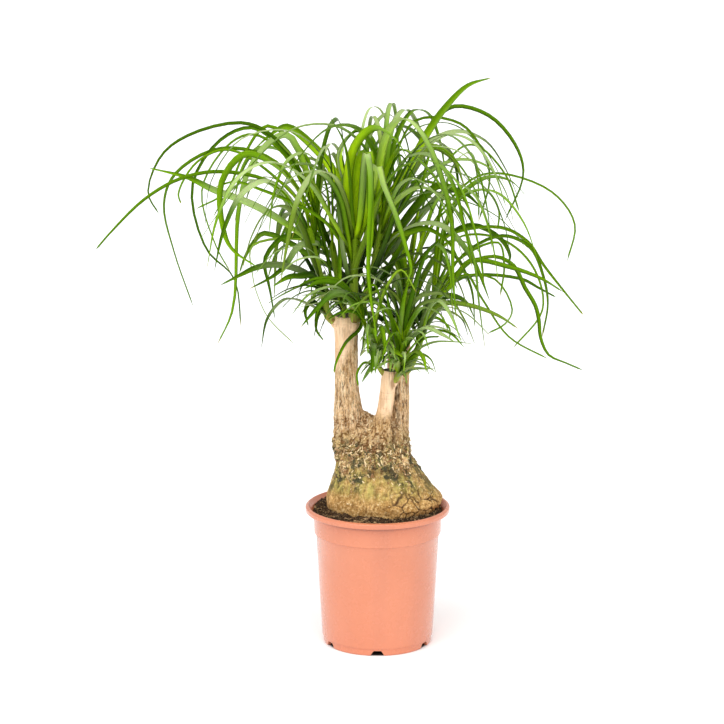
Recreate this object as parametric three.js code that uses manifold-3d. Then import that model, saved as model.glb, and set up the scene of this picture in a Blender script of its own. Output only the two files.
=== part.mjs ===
// Potted ponytail palm: a swollen trunk with three stems, in a plastic nursery pot.
// Millimetres, +Z up. The origin is the middle of the pot's underside, and -Y is the front.
import * as THREE from "three";
import { mergeVertices } from "three/addons/utils/BufferGeometryUtils.js";
import Module from "manifold-3d";

const wasm = await Module();
wasm.setup();

// Driving dimensions of the pot
const POT_HEIGHT = 186;
const RIM_RADIUS = 95;
const WALL = 2;
const FOOT_RADIUS = 71.5;
const FOOT_HEIGHT = 9.5;
const BAND_BOTTOM = 150;
const FLOOR_TOP = 6.5;
const NOTCH_COUNT = 6;
const NOTCH_HEIGHT = 7;
const NOTCH_BOTTOM_WIDTH = 20;
const NOTCH_TOP_WIDTH = 10;
const NOTCH_DEPTH = 20;
const POT_SIDES = 40;

// Driving dimensions of what fills the pot
const CLEARANCE = 0.3;
const SLIVER = 0.14;
const SOIL_LEVEL = 181.5;
const SEAT_DEPTH = 8;

// Where the plant is seen from: places read in the picture are on the plane y = 0
const EYE_DISTANCE = 3460;
const EYE_HEIGHT = 1170;

// Driving dimensions of a blade
const KEEL_BASE = 0.5;
const KEEL_PER_WIDTH = 0.11;
const THINNEST = 0.7;
const GOLDEN_ANGLE = 2.39996;
const BLADE_SPACE = 0.9;
const FUSED_REACH = 45;
const MOST_STATIONS = 8;
const TAPER = 2.2;
const MOST_ATTEMPTS = 60;
const DEPTH_SHIFTS = [0, 12, -12, 24, -24, 40, -40, 60, -60, 85, -85, 110, -110];

// How far below the first place that it is seen to pass a blade leaves its stem
const ROOT_DROP = 25;

// The space that arched blades fill, and the part of it round the trunk, which is bare in front: below
// CLEAR_FRONT no arched blade comes before the trunk, nor below BARE_STEM far to its left
const CROWN = { left: -225, right: 205, front: -225, back: 265, lowest: 395, highest: 700, middle: 520 };
const LOW_REACH = 0.7;
const LOWEST_PER_DEPTH = 0.12;
const NEAR_TRUNK = { left: -95, right: 75, side: 90, lowest: 425, front: -40 };
const BARE_STEM = 445;
const CLEAR_FRONT = 610;

const vector = (p) => new THREE.Vector3(p[0], p[1], p[2]);
const mix = (a, b, t) => a + (b - a) * t;
const smoothStep = (low, high, value) => THREE.MathUtils.smoothstep(value, low, high);

// Solids: closed meshes go in, and joined or cut ones come out
function solid(geometry) {
  const bare = geometry.clone();
  bare.deleteAttribute("normal");
  bare.deleteAttribute("uv");
  const merged = mergeVertices(bare, 1e-4);
  return new wasm.Manifold(new wasm.Mesh({
    numProp: 3,
    vertProperties: new Float32Array(merged.attributes.position.array),
    triVerts: new Uint32Array(merged.index.array),
  }));
}

function geometryOf(manifold) {
  const mesh = manifold.getMesh();
  const geometry = new THREE.BufferGeometry();
  geometry.setAttribute("position", new THREE.BufferAttribute(mesh.vertProperties, 3));
  geometry.setIndex(new THREE.BufferAttribute(mesh.triVerts, 1));
  geometry.computeVertexNormals();
  return geometry;
}

// Only the largest body is kept: fusing can leave a loose scrap or a sealed hollow, and slivers
function wholeBody(manifold) {
  const bodies = manifold.asOriginal().simplify(SLIVER).decompose();
  return bodies.reduce((a, b) => (b.volume() > a.volume() ? b : a));
}

// A closed skin over rings of points, with a pole at each end
function skin(rings, start, end) {
  const sides = rings[0].length;
  const points = [start, ...rings.flat(), end];
  const last = points.length - 1;
  const triangles = [];
  for (let side = 0; side < sides; side += 1) {
    const next = (side + 1) % sides;
    triangles.push(0, 1 + next, 1 + side);
    for (let ring = 0; ring + 1 < rings.length; ring += 1) {
      const low = 1 + ring * sides;
      const high = low + sides;
      triangles.push(low + side, low + next, high + next);
      triangles.push(low + side, high + next, high + side);
    }
    triangles.push(last, last - sides + side, last - sides + next);
  }
  const geometry = new THREE.BufferGeometry().setFromPoints(points);
  geometry.setIndex(triangles);
  return geometry;
}

// A round stem through the given points, with a radius at each one
function stemGeometry(points, radii, sides, extra = 0) {
  const curve = new THREE.CatmullRomCurve3(points, false, "centripetal");
  const across = new THREE.Vector3(0, 1, 0);
  const rings = points.map((point, i) => {
    const along = curve.getTangent(i / (points.length - 1));
    const u = across.clone().addScaledVector(along, -across.dot(along)).normalize();
    const v = new THREE.Vector3().crossVectors(along, u);
    return Array.from({ length: sides }, (_, side) => {
      const angle = (side / sides) * 2 * Math.PI;
      const radius = radii[i] + extra;
      return point.clone()
        .addScaledVector(u, Math.cos(angle) * radius)
        .addScaledVector(v, Math.sin(angle) * radius);
    });
  });
  return skin(rings, points[0].clone(), points[points.length - 1].clone());
}

// Pot: one turned shell with a rolled rim, a stepped band and notches in its foot
function turned(profile) {
  const outline = profile.map(([radius, height]) => new THREE.Vector2(radius, height));
  return new THREE.LatheGeometry(outline, POT_SIDES).rotateX(Math.PI / 2);
}

const OUTER_WALL = [
  [FOOT_RADIUS, 1.2], [FOOT_RADIUS, FOOT_HEIGHT], [FOOT_RADIUS + 1.8, FOOT_HEIGHT + 1],
  [81.1, BAND_BOTTOM - 1], [83.5, BAND_BOTTOM], [84.8, 178], [RIM_RADIUS - 0.8, 178],
  [RIM_RADIUS, 182.5], [RIM_RADIUS - 2, POT_HEIGHT - 0.6], [RIM_RADIUS - 6, POT_HEIGHT],
];
const INNER_WALL = [
  [86, POT_HEIGHT - 4], [84.8 - WALL, 177], [83.5 - WALL, BAND_BOTTOM + 1.5],
  [81.1 - WALL, BAND_BOTTOM - 1], [FOOT_RADIUS + 1.8 - WALL, FOOT_HEIGHT + 3],
  [FOOT_RADIUS - 3.5, FLOOR_TOP],
];

function potSolid() {
  const underside = [[0, 0], [40, 0], [44, 4.5], [64, 4.5], [66.5, 0], [FOOT_RADIUS - 1.2, 0]];
  const floor = [[42, FLOOR_TOP], [38, 2.5], [0, 2.5]];
  let pot = solid(turned([...underside, ...OUTER_WALL, ...INNER_WALL, ...floor]));
  const notch = new THREE.Shape([
    new THREE.Vector2(-NOTCH_BOTTOM_WIDTH / 2, -1),
    new THREE.Vector2(NOTCH_BOTTOM_WIDTH / 2, -1),
    new THREE.Vector2(NOTCH_TOP_WIDTH / 2, NOTCH_HEIGHT),
    new THREE.Vector2(-NOTCH_TOP_WIDTH / 2, NOTCH_HEIGHT),
  ]);
  for (let i = 0; i < NOTCH_COUNT; i += 1) {
    const cutter = new THREE.ExtrudeGeometry(notch, { depth: NOTCH_DEPTH, bevelEnabled: false });
    cutter.rotateX(Math.PI / 2).translate(0, NOTCH_DEPTH / 2 - FOOT_RADIUS, 0);
    cutter.rotateZ((i / NOTCH_COUNT) * 2 * Math.PI);
    pot = pot.subtract(solid(cutter));
  }
  return pot;
}

// Trunk: the swollen base is a skin over level rings, given by height, centre and half widths
const BASE_RINGS = [
  { z: 122, x: 5, y: 9, wide: 34, deep: 32 },
  { z: 134, x: 5, y: 9, wide: 56, deep: 52 },
  { z: 156, x: 3, y: 9, wide: 65, deep: 61 },
  { z: 181, x: 6, y: 10, wide: 73.5, deep: 66 },
  { z: 193, x: 8.5, y: 11, wide: 77, deep: 68 },
  { z: 206, x: 6, y: 11, wide: 70, deep: 62 },
  { z: 219, x: 3, y: 9, wide: 63.5, deep: 55 },
  { z: 233, x: 0, y: 6, wide: 56, deep: 48 },
  { z: 247, x: -3, y: 4, wide: 50, deep: 42 },
  { z: 262, x: -4, y: 2, wide: 47, deep: 36 },
  { z: 278, x: -5, y: 1, wide: 43, deep: 29 },
  { z: 291, x: -6, y: 1, wide: 36, deep: 21 },
  { z: 299, x: -8, y: 1, wide: 23, deep: 13 },
  { z: 305.5, x: -17, y: 2, wide: 11, deep: 10 },
];
const BASE_SIDES = 30;

function baseRing({ z, x, y, wide, deep }, grow) {
  return Array.from({ length: BASE_SIDES }, (_, side) => {
    const angle = (side / BASE_SIDES) * 2 * Math.PI;
    const front = Math.max(0, Math.cos(angle + 1.25)) ** 6;
    const hollow = Math.max(0, Math.cos(angle + 2.2)) ** 8;
    const lobes = 1 + 0.05 * front - 0.06 * hollow + 0.018 * Math.sin(5 * angle + z * 0.045);
    return new THREE.Vector3(
      x + Math.cos(angle) * (wide * lobes + grow),
      y + Math.sin(angle) * (deep * lobes + grow),
      z,
    );
  });
}

function baseGeometry(grow = 0) {
  const rings = BASE_RINGS.map((ring) => baseRing(ring, grow));
  const low = BASE_RINGS[0];
  const high = BASE_RINGS[BASE_RINGS.length - 1];
  const bottom = new THREE.Vector3(low.x, low.y, low.z - 5 - grow);
  return skin(rings, bottom, new THREE.Vector3(high.x - 3, high.y, 313));
}

// Each stem of the trunk: x, y, z and radius from the base up to its cut top
const TRUNK_STEMS = {
  left: [
    [-30, 8, 225, 25], [-33, 7, 250, 23], [-36, 6, 272, 21.5], [-37.5, 5, 292, 20], [-38.5, 4, 313, 18.8],
    [-39.8, 4, 328, 17], [-40.5, 4, 343, 15.7], [-40.7, 4, 375, 15.2], [-41, 4, 405, 15.2],
    [-41.5, 4, 424, 15.8], [-42.5, 4, 432, 17], [-42, 4, 440, 15],
  ],
  front: [
    [2, -12, 225, 24], [2.5, -16, 250, 20], [3, -19, 272, 16.2], [4, -21, 290, 13.2], [6.2, -22, 305, 11.3],
    [9, -22, 318, 10.2], [11.1, -22, 333, 10], [12.7, -22, 346, 9.8], [14, -22, 359, 10],
    [15.6, -22, 373, 9.2],
  ],
  back: [
    [16, 10, 225, 25], [20, 12, 250, 21.5], [23, 14, 272, 18], [25, 15, 290, 16], [26, 16, 312, 15],
    [26.5, 16, 345, 14.5], [27, 16, 380, 14.3], [27.5, 16, 404, 15.2], [28, 16, 417, 13.4],
  ],
};
const STEM_SIDES = 12;

function trunkSolid() {
  let trunk = solid(baseGeometry());
  for (const stem of Object.values(TRUNK_STEMS)) {
    trunk = trunk.add(solid(stemGeometry(stem.map(vector), stem.map((p) => p[3]), STEM_SIDES)));
  }
  for (const shoot of SHOOTS) {
    trunk = trunk.subtract(solid(seatGeometry(shoot)));
  }
  return wholeBody(trunk);
}

// Soil: fills the pot to just under its rim, with a slightly uneven top round the trunk
function soilSolid() {
  const inside = INNER_WALL.slice(1).map(([radius, height]) => [radius - CLEARANCE, height]);
  inside[inside.length - 1][1] += CLEARANCE;
  const bottom = [[41.7, FLOOR_TOP + CLEARANCE], [37.8, 2.5 + CLEARANCE], [0, 2.5 + CLEARANCE]];
  const top = [[0, SOIL_LEVEL], [60, SOIL_LEVEL + 1], [74, SOIL_LEVEL], [81, SOIL_LEVEL - 2]];
  const geometry = turned([...bottom.reverse(), ...inside.reverse(), ...top.reverse()]);
  const position = geometry.attributes.position;
  for (let i = 0; i < position.count; i += 1) {
    const angle = Math.atan2(position.getY(i), position.getX(i));
    const radius = Math.hypot(position.getX(i), position.getY(i));
    if (position.getZ(i) > SOIL_LEVEL - 3 && radius > 1) {
      position.setZ(i, position.getZ(i) + 0.9 * Math.sin(3 * angle) + 0.6 * Math.sin(7 * angle + 1));
    }
  }
  return solid(geometry).subtract(solid(baseGeometry(CLEARANCE)));
}

// Shoots: each has a short stem, given by points and end radii, that stands in a plain hole in the trunk.
// lowest is where on the stem the oldest leaf grows. length and rise are the lengths and first slopes of its
// oldest and youngest leaves, and lean is the side they favour. width and droop are each from least to most.
// limits replace those of the whole crown.
const SHOOTS = [
  {
    name: "shoot_left_outer", seed: 11, leaves: 27, lowest: 0.12, lean: Math.PI,
    stem: [[-56, -1, 432], [-65, -1, 441], [-70, -1, 470], [-80, -1, 515], [-88, -1, 552]],
    radius: [6, 4], length: [150, 500], rise: [0.35, 1.3], width: [5, 12], droop: [0.8, 1.5],
  },
  {
    name: "shoot_left_tall", seed: 23, leaves: 26, lowest: 0.2, lean: -1.2,
    stem: [[-33, -4, 431], [-31, -4, 450], [-31, -4, 495], [-30, -4, 545]],
    radius: [6.6, 5], length: [170, 500], rise: [0.5, 1.4], width: [5, 12], droop: [0.8, 1.5],
  },
  {
    name: "shoot_left_inner", seed: 37, leaves: 26, lowest: 0.2, lean: 0,
    stem: [[-29, 9, 430], [-22, 10, 446], [-8, 12, 490], [2, 12, 540], [9, 11, 580]],
    radius: [5.6, 4], length: [160, 480], rise: [0.5, 1.35], width: [5, 12], droop: [0.8, 1.5],
  },
  {
    name: "shoot_left_small", seed: 41, leaves: 9, lowest: 0.4, lean: 3.6,
    stem: [[-43, -8.5, 433], [-45, -10, 448], [-51, -12, 464]],
    radius: [2.2, 1.8], length: [60, 150], rise: [0.6, 1.2], width: [4, 7], droop: [0.4, 1.5],
  },
  {
    name: "shoot_left_back", seed: 53, leaves: 26, lowest: 0.15, lean: 1.9,
    stem: [[-43, 12, 432], [-45, 21, 447], [-52, 29, 482], [-59, 34, 526]],
    radius: [5, 3.8], length: [150, 460], rise: [0.35, 1.3], width: [5, 12], droop: [0.8, 1.5],
  },
  {
    name: "shoot_front_left", seed: 61, leaves: 22, lowest: 0.2, lean: -2.2,
    stem: [[9, -23, 366], [2, -26, 377], [-5, -29, 400], [-13, -31, 425], [-20, -32, 446]],
    radius: [3.6, 2.6], length: [60, 150], rise: [0.8, 1.4], width: [6, 11], droop: [0.1, 1.3],
    limits: { lowest: 372, front: -95, left: -24 },
  },
  {
    name: "shoot_front_right", seed: 71, leaves: 26, lowest: 0.15, lean: -1.2,
    stem: [[22, -26, 358], [27, -30, 370], [32, -33, 396], [35, -34, 431]],
    radius: [3.8, 2.8], length: [60, 170], rise: [0.7, 1.4], width: [6, 11], droop: [0.1, 1.3],
    limits: { lowest: 368, front: -95, left: -24 },
  },
  {
    name: "shoot_right_leaning", seed: 83, leaves: 30, lowest: 0.15, lean: -0.3,
    stem: [[33, 8, 360], [42, 1, 371], [53, -4, 400], [61, -6, 430], [72, -8, 462]],
    radius: [5, 3.4], length: [70, 360], rise: [0.4, 1.3], width: [5, 11], droop: [0.4, 1.4],
    limits: { lowest: 385, front: -60 },
  },
  {
    name: "shoot_back_top", seed: 97, leaves: 30, lowest: 0.15, lean: 0.6,
    stem: [[27, 17, 405], [29, 19, 424], [36, 22, 460], [44, 25, 500]],
    radius: [6, 4], length: [150, 420], rise: [0.35, 1.3], width: [5, 12], droop: [0.8, 1.5],
  },
  {
    name: "shoot_back_low", seed: 103, leaves: 24, lowest: 0.2, lean: 1.1,
    stem: [[29, 25, 378], [34, 36, 392], [40, 45, 422], [46, 52, 455]],
    radius: [4.5, 3], length: [80, 300], rise: [0.4, 1.3], width: [5, 12], droop: [0.8, 1.5],
    limits: { lowest: 390 },
  },
];
const SHOOT_SIDES = 8;

function shootRadii(shoot) {
  const last = shoot.stem.length - 1;
  return shoot.stem.map((_, i) => mix(shoot.radius[0], shoot.radius[1], i / last));
}

function seatGeometry(shoot) {
  const [low, high] = shoot.stem.slice(0, 2).map(vector);
  const along = high.clone().sub(low).normalize();
  const start = low.clone().addScaledVector(along, -SEAT_DEPTH - CLEARANCE);
  const end = low.clone().addScaledVector(along, 40);
  const radius = shoot.radius[0];
  return stemGeometry([start, end], [radius, radius], SHOOT_SIDES, CLEARANCE);
}

function shootStem(shoot) {
  const points = shoot.stem.map(vector);
  const along = points[1].clone().sub(points[0]).normalize();
  const seat = points[0].clone().addScaledVector(along, -SEAT_DEPTH);
  const radii = shootRadii(shoot);
  const tip = points[points.length - 1].clone().add(new THREE.Vector3(0, 0, 6));
  return stemGeometry([seat, ...points, tip], [radii[0] * 0.97, ...radii, 1.2], SHOOT_SIDES);
}

// Blades read from the picture, by shoot: width, depth of the tip behind (+) or before (-) the stem, turn
// of the broad face in degrees, then the places (x, z) that the blade is seen to pass, from root to tip
const SEEN_BLADES = {
  shoot_left_outer: [
    [5, 20, 65, [[-60, 480], [-100, 630], [-140, 678], [-175, 691],
     [-240, 676], [-277, 649], [-295, 600], [-281, 572]]],
    [10, -30, 70, [[-112, 556], [-158, 584], [-212, 605], [-243, 620], [-295, 633]]],
    [5, -60, 75, [[-130, 610], [-200, 628], [-253, 619], [-300, 592], [-345, 548], [-364, 526]]],
    [9.5, 40, 70, [[-85, 600], [-115, 675], [-141, 664], [-168, 624],
     [-180, 570], [-188, 448], [-209, 400]]],
    [9.5, -70, 70, [[-100, 600], [-140, 642], [-172, 650], [-201, 613],
     [-198, 549], [-187, 526], [-155, 503]]],
    [5, 70, 65, [[-82, 590], [-90, 644], [-141, 687], [-173, 647], [-196, 601], [-235, 579]]],
    [9.5, -40, 65, [[-75, 480], [-99, 499], [-133, 507], [-157, 503], [-178, 493], [-205, 479]]],
    [9.5, -20, 60, [[-75, 533], [-90, 536], [-105, 528], [-118, 508], [-135, 492], [-168, 474]]],
    [7.5, 30, 65, [[-77, 543], [-105, 545], [-125, 541], [-146, 513], [-140, 476], [-133, 433]]],
    [9.5, -90, 50, [[-79, 493], [-99, 492], [-117, 490], [-136, 478]]],
    [7, -60, 65, [[-76, 448], [-80, 431], [-79, 419], [-70, 406]]],
    [8, -30, 75, [[-79, 456], [-87, 458], [-94, 446], [-90, 425]]],
  ],
  shoot_left_back: [
    [5, 60, 70, [[-110, 640], [-157, 684], [-200, 670], [-238, 610],
     [-221, 527], [-186, 489], [-177, 420]]],
    [3.5, 90, 65, [[-120, 650], [-159, 676], [-194, 660], [-226, 603], [-209, 532], [-190, 496]]],
    [5, 120, 65, [[-130, 640], [-200, 658], [-259, 626], [-275, 585], [-263, 524], [-238, 448]]],
    [3.5, 40, 65, [[-120, 610], [-189, 656], [-231, 641], [-256, 600], [-253, 586]]],
    [7.5, 80, 65, [[-90, 520], [-109, 533], [-146, 548], [-161, 535], [-173, 513], [-179, 495]]],
    [3.5, 140, 65, [[-100, 540], [-161, 532], [-162, 493], [-155, 464], [-141, 435], [-108, 401]]],
  ],
  shoot_left_tall: [
    [13, -60, 8, [[-30, 560], [-28, 610], [-22, 648], [-12, 655], [-10, 600], [-9, 550], [-13, 500],
     [-8, 440]]],
    [13, -150, 20, [[-18, 560], [-8, 610], [0, 637], [8, 610], [22, 575], [36, 530], [43, 500], [36, 481]]],
    [14, -20, 5, [[-36, 560], [-34, 600], [-28, 640], [-22, 655]]],
    [13, 10, 5, [[-42, 560], [-44, 600], [-38, 630], [-30, 645]]],
    [9.5, 40, 75, [[-38, 590], [-52, 645], [-42, 668], [-25, 682], [-8, 675]]],
    [7.5, 60, 75, [[-38, 600], [-38, 650], [-24, 668], [-9, 680], [5, 687]]],
    [12, 30, 5, [[-22, 560], [-12, 600], [-4, 640], [-2, 655]]],
    [13, -15, 0, [[-40, 500], [-48, 550], [-52, 600], [-57, 642]]],
    [12, -25, 10, [[-28, 505], [-12, 552], [0, 592], [5, 614]]],
    [5, -40, 55, [[-45, 532], [-70, 565], [-112, 589], [-151, 605], [-183, 615], [-209, 608]]],
    [5, -20, 45, [[-48, 539], [-70, 590], [-93, 629], [-130, 669]]],
    [12, 20, 60, [[-43, 589], [-58, 629], [-80, 658], [-117, 686], [-138, 675], [-163, 652]]],
    [9.5, -110, 8, [[-24, 560], [-17, 640], [-14, 652], [-9, 620], [-12, 500], [0, 400]]],
    [12, 40, 35, [[-38, 590], [-50, 650], [-29, 681], [-8, 670], [10, 620]]],
    [12, -60, 45, [[-39, 600], [-30, 660], [-3, 685], [25, 668], [40, 640]]],
    [9.5, 0, 35, [[-33, 570], [-36, 620], [-44, 668], [-62, 700]]],
  ],
  shoot_left_inner: [
    [12, -140, 15, [[0, 590], [9, 670], [32, 698], [60, 672], [93, 577], [97, 490], [102, 432]]],
    [12, -110, 15, [[2, 590], [10, 626], [30, 658], [66, 630], [86, 596], [90, 560]]],
    [12.5, 10, 65, [[10, 590], [40, 635], [63, 678], [85, 710], [114, 739], [145, 749]]],
    [6, 40, 75, [[30, 600], [70, 690], [96, 712], [142, 700], [177, 660], [186, 623], [162, 562]]],
    [4, 80, 65, [[20, 640], [48, 694], [105, 690], [136, 650], [143, 617], [129, 562]]],
    [3.5, -80, 55, [[8, 600], [27, 650], [41, 632], [53, 611], [75, 568]]],
    [12, -50, 55, [[20, 545], [35, 548], [63, 554], [92, 535], [110, 500]]],
    [11.5, -25, 30, [[-8, 490], [10, 536], [23, 578], [33, 600]]],
    [12, -20, 40, [[2, 482], [24, 520], [45, 556], [60, 578]]],
    [12, 10, 70, [[-6, 520], [25, 590], [48, 634], [68, 660], [95, 646], [112, 606]]],
    [12, -10, 75, [[2, 510], [32, 560], [58, 594], [78, 610], [104, 602], [120, 572]]],
    [11, 30, 75, [[-4, 500], [30, 540], [62, 580], [90, 604], [112, 600], [134, 580]]],
    [11, 50, 70, [[0, 540], [18, 590], [36, 626], [58, 650], [84, 640]]],
    [5, -50, 65, [[-22, 425], [-36, 410], [-44, 400], [-55, 375], [-57, 363]]],
  ],
  shoot_back_top: [
    [3.5, 30, 65, [[60, 590], [103, 657], [128, 661], [164, 623], [182, 575]]],
    [3.5, 60, 65, [[70, 560], [120, 618], [157, 626], [223, 602], [253, 560], [244, 511]]],
    [3.5, -20, 65, [[55, 600], [72, 659], [97, 645], [127, 598], [130, 571]]],
    [3.5, 90, 65, [[80, 570], [134, 605], [155, 579], [154, 552]]],
    [7.5, 20, 65, [[70, 530], [119, 559], [158, 541], [170, 520], [169, 508]]],
    [5, 40, 65, [[90, 545], [157, 556], [192, 538], [215, 505], [249, 462], [267, 440]]],
    [3.5, 70, 65, [[110, 545], [164, 538], [202, 501], [213, 447], [175, 396]]],
  ],
  shoot_right_leaning: [
    [6, -30, 75, [[110, 505], [150, 518], [175, 506], [190, 477], [204, 453],
     [209, 432], [211, 412], [222, 388], [245, 377], [268, 367]]],
    [5, 10, 75, [[110, 520], [160, 545], [196, 530], [213, 494], [220, 456], [213, 410]]],
    [7.5, -60, 70, [[95, 480], [119, 512], [170, 504], [211, 489], [240, 471]]],
    [7.5, -20, 75, [[70, 445], [85, 456], [117, 454], [156, 440], [183, 422]]],
    [3.5, 20, 65, [[92, 490], [112, 497], [135, 462], [170, 412], [222, 382]]],
    [3.5, -80, 55, [[100, 490], [151, 488], [174, 448], [165, 429], [142, 416]]],
    [3.5, -40, 65, [[100, 510], [155, 536], [163, 507], [158, 464]]],
    [5, 40, 65, [[110, 490], [183, 489], [209, 476], [231, 464]]],
    [5, -40, 65, [[66, 432], [76, 437], [93, 423], [93, 408]]],
    [10, -14, 30, [[54, 420], [68, 455], [82, 490], [93, 516]]],
    [9, 5, 40, [[58, 430], [80, 462], [101, 492], [123, 512]]],
    [3.5, -30, 65, [[47, 392], [62, 410], [81, 412]]],
  ],
  shoot_front_left: [
    [3.5, -30, 55, [[-4, 374], [-18, 377], [-27, 362], [-25, 345]]],
    [5, -30, 45, [[-5, 410], [8, 470], [30, 500], [50, 470]]],
  ],
  shoot_front_right: [
    [5, -50, 45, [[20, 400], [5, 450], [-5, 480], [-20, 470]]],
    [7.5, -20, 35, [[38, 440], [48, 480], [62, 520], [80, 540]]],
    [11, -12, 8, [[28, 402], [30, 430], [34, 462], [41, 490]]],
    [10, -5, 20, [[32, 400], [44, 432], [56, 464], [67, 492]]],
    [10, -15, 12, [[26, 395], [20, 425], [14, 455], [9, 482]]],
  ],
};

// Where a place seen on the plane y = 0 lies on the same sight line at the depth y
function onSightLine([x, z], y) {
  const reach = (y + EYE_DISTANCE) / EYE_DISTANCE;
  return new THREE.Vector3(x * reach, y, EYE_HEIGHT + (z - EYE_HEIGHT) * reach);
}

// A small seeded random source, so that the plant is the same each time
function randomFrom(seed) {
  let state = seed >>> 0;
  return () => {
    state = (state + 0x6d2b79f5) >>> 0;
    let t = Math.imul(state ^ (state >>> 15), 1 | state);
    t = (t + Math.imul(t ^ (t >>> 7), 61 | t)) ^ t;
    return ((t ^ (t >>> 14)) >>> 0) / 4294967296;
  };
}

function onStem(shoot, share) {
  const points = shoot.stem.map(vector);
  const place = Math.min(share, 1) * (points.length - 1);
  const low = Math.min(Math.floor(place), points.length - 2);
  return points[low].clone().lerp(points[low + 1], place - low);
}

// The place on a stem at a height, kept between the trunk and the stem's end
function onStemAt(shoot, z) {
  let share = 0.3;
  while (share < 0.96 && onStem(shoot, share).z < z) {
    share += 0.02;
  }
  return onStem(shoot, share);
}

function seenBlade(shoot, [width, tipDepth, turn, places], shift) {
  const root = onStemAt(shoot, places[0][1] - ROOT_DROP);
  const depth = (i) => root.y + (tipDepth + shift) * Math.sin(((i + 1) / places.length) * Math.PI / 2) ** 1.5;
  const points = [root, ...places.map((place, i) => onSightLine(place, depth(i)))];
  return { points, width, turn: THREE.MathUtils.degToRad(turn) };
}

// A blade that rises from its stem, arches over and hangs, drawn anew for each attempt
function archedBlade(shoot, index, attempt) {
  const random = randomFrom(shoot.seed * 100003 + index * 1009 + attempt);
  const age = (index + 0.5) / shoot.leaves;
  const heading = shoot.lean + index * GOLDEN_ANGLE + (random() - 0.5) * (0.6 + attempt * 0.06);
  const outward = new THREE.Vector3(Math.cos(heading), Math.sin(heading), 0);
  const root = onStem(shoot, mix(shoot.lowest, 1, age));
  root.addScaledVector(outward, 0.4 * mix(...shoot.radius, age));
  const rise = mix(shoot.rise[0], shoot.rise[1], age) + (random() - 0.5) * 0.5;
  const length = mix(shoot.length[0], shoot.length[1], age ** 0.8) * (0.7 + 0.5 * random());
  const fall = mix(...shoot.droop, random());
  const sway = (random() - 0.5) * 1.1;
  const bend = random();
  const steps = length > 260 ? 6 : 4;
  const points = [root];
  for (let i = 0; i < steps; i += 1) {
    const share = (i + 0.5) / steps;
    const tilt = rise - (rise + fall) * smoothStep(0.3 * bend - 0.1, 0.7 + 0.3 * bend, share);
    const yaw = heading + sway * share * share;
    const step = new THREE.Vector3(
      Math.cos(tilt) * Math.cos(yaw), Math.cos(tilt) * Math.sin(yaw), Math.sin(tilt),
    );
    points.push(points[i].clone().addScaledVector(step, length / steps));
  }
  return { points, width: mix(...shoot.width, random()), turn: (random() - 0.5) * 1.6 };
}

// Blades keep inside the crown, which is narrower below its middle, and off the bare trunk
function insideCrown(blade, { lowest, front, left } = {}) {
  return blade.points.slice(1).every(({ x, y, z }) => {
    const overTrunk = x > NEAR_TRUNK.left && x < NEAR_TRUNK.right;
    const low = z < CROWN.middle;
    const floor = overTrunk && Math.abs(y) < NEAR_TRUNK.side
      ? lowest ?? NEAR_TRUNK.lowest
      : CROWN.lowest + LOWEST_PER_DEPTH * Math.abs(y);
    const reach = low ? LOW_REACH : 1;
    const inside = x > CROWN.left * reach && x < CROWN.right * reach
      && y > CROWN.front * reach && y < CROWN.back * reach;
    const inFront = z < CLEAR_FRONT && overTrunk && y < (front ?? NEAR_TRUNK.front);
    const overStem = z < BARE_STEM && x < (left ?? CROWN.left);
    return z > floor && z < CROWN.highest && inside && !inFront && !overStem;
  });
}

// Stations along a blade: places, half widths and the direction of the broad side
function stationsOf(blade) {
  const count = Math.min(MOST_STATIONS, blade.points.length + 1);
  const curve = new THREE.CatmullRomCurve3(blade.points, false, "centripetal");
  const first = blade.points[0];
  const tip = blade.points[blade.points.length - 1];
  const across = new THREE.Vector3(-(tip.y - first.y), tip.x - first.x, 0).normalize();
  return Array.from({ length: count }, (_, i) => {
    const share = i / (count - 1);
    const along = curve.getTangent(share);
    const side = across.clone().addScaledVector(along, -across.dot(along)).normalize();
    const under = new THREE.Vector3().crossVectors(side, along);
    const turn = blade.turn * Math.min(1, share * 3);
    const width = blade.width * (1 - share ** TAPER) * (0.72 + 0.28 * Math.min(1, share * 5));
    return {
      place: curve.getPoint(share),
      half: width / 2,
      side: side.clone().multiplyScalar(Math.cos(turn)).addScaledVector(under, Math.sin(turn)),
      under: under.clone().multiplyScalar(Math.cos(turn)).addScaledVector(side, -Math.sin(turn)),
    };
  });
}

// A blade is a long keeled wedge: two edges and a keel, ending in a point
function bladeGeometry(stations) {
  const rings = stations.slice(0, -1).map(({ place, half, side, under }) => {
    const reach = Math.max(half, THINNEST);
    const keel = Math.max(THINNEST, KEEL_BASE + KEEL_PER_WIDTH * 2 * half);
    return [
      place.clone().addScaledVector(side, -reach),
      place.clone().addScaledVector(under, keel),
      place.clone().addScaledVector(side, reach),
    ];
  });
  const sides = 3;
  const points = [...rings.flat(), stations[stations.length - 1].place];
  const triangles = [0, 2, 1];
  for (let ring = 0; ring + 1 < rings.length; ring += 1) {
    for (let side = 0; side < sides; side += 1) {
      const low = ring * sides;
      const next = (side + 1) % sides;
      triangles.push(low + side, low + next, low + sides + next);
      triangles.push(low + side, low + sides + next, low + sides + side);
    }
  }
  const last = (rings.length - 1) * sides;
  for (let side = 0; side < sides; side += 1) {
    triangles.push(last + side, last + ((side + 1) % sides), points.length - 1);
  }
  const geometry = new THREE.BufferGeometry().setFromPoints(points);
  geometry.setIndex(triangles);
  return geometry;
}

// Room: small balls along every placed blade and stem, kept in cells, with the owner's name
const CELL = 16;
const room = new Map();
const cellKey = (x, y, z) => `${Math.floor(x / CELL)},${Math.floor(y / CELL)},${Math.floor(z / CELL)}`;

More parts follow.
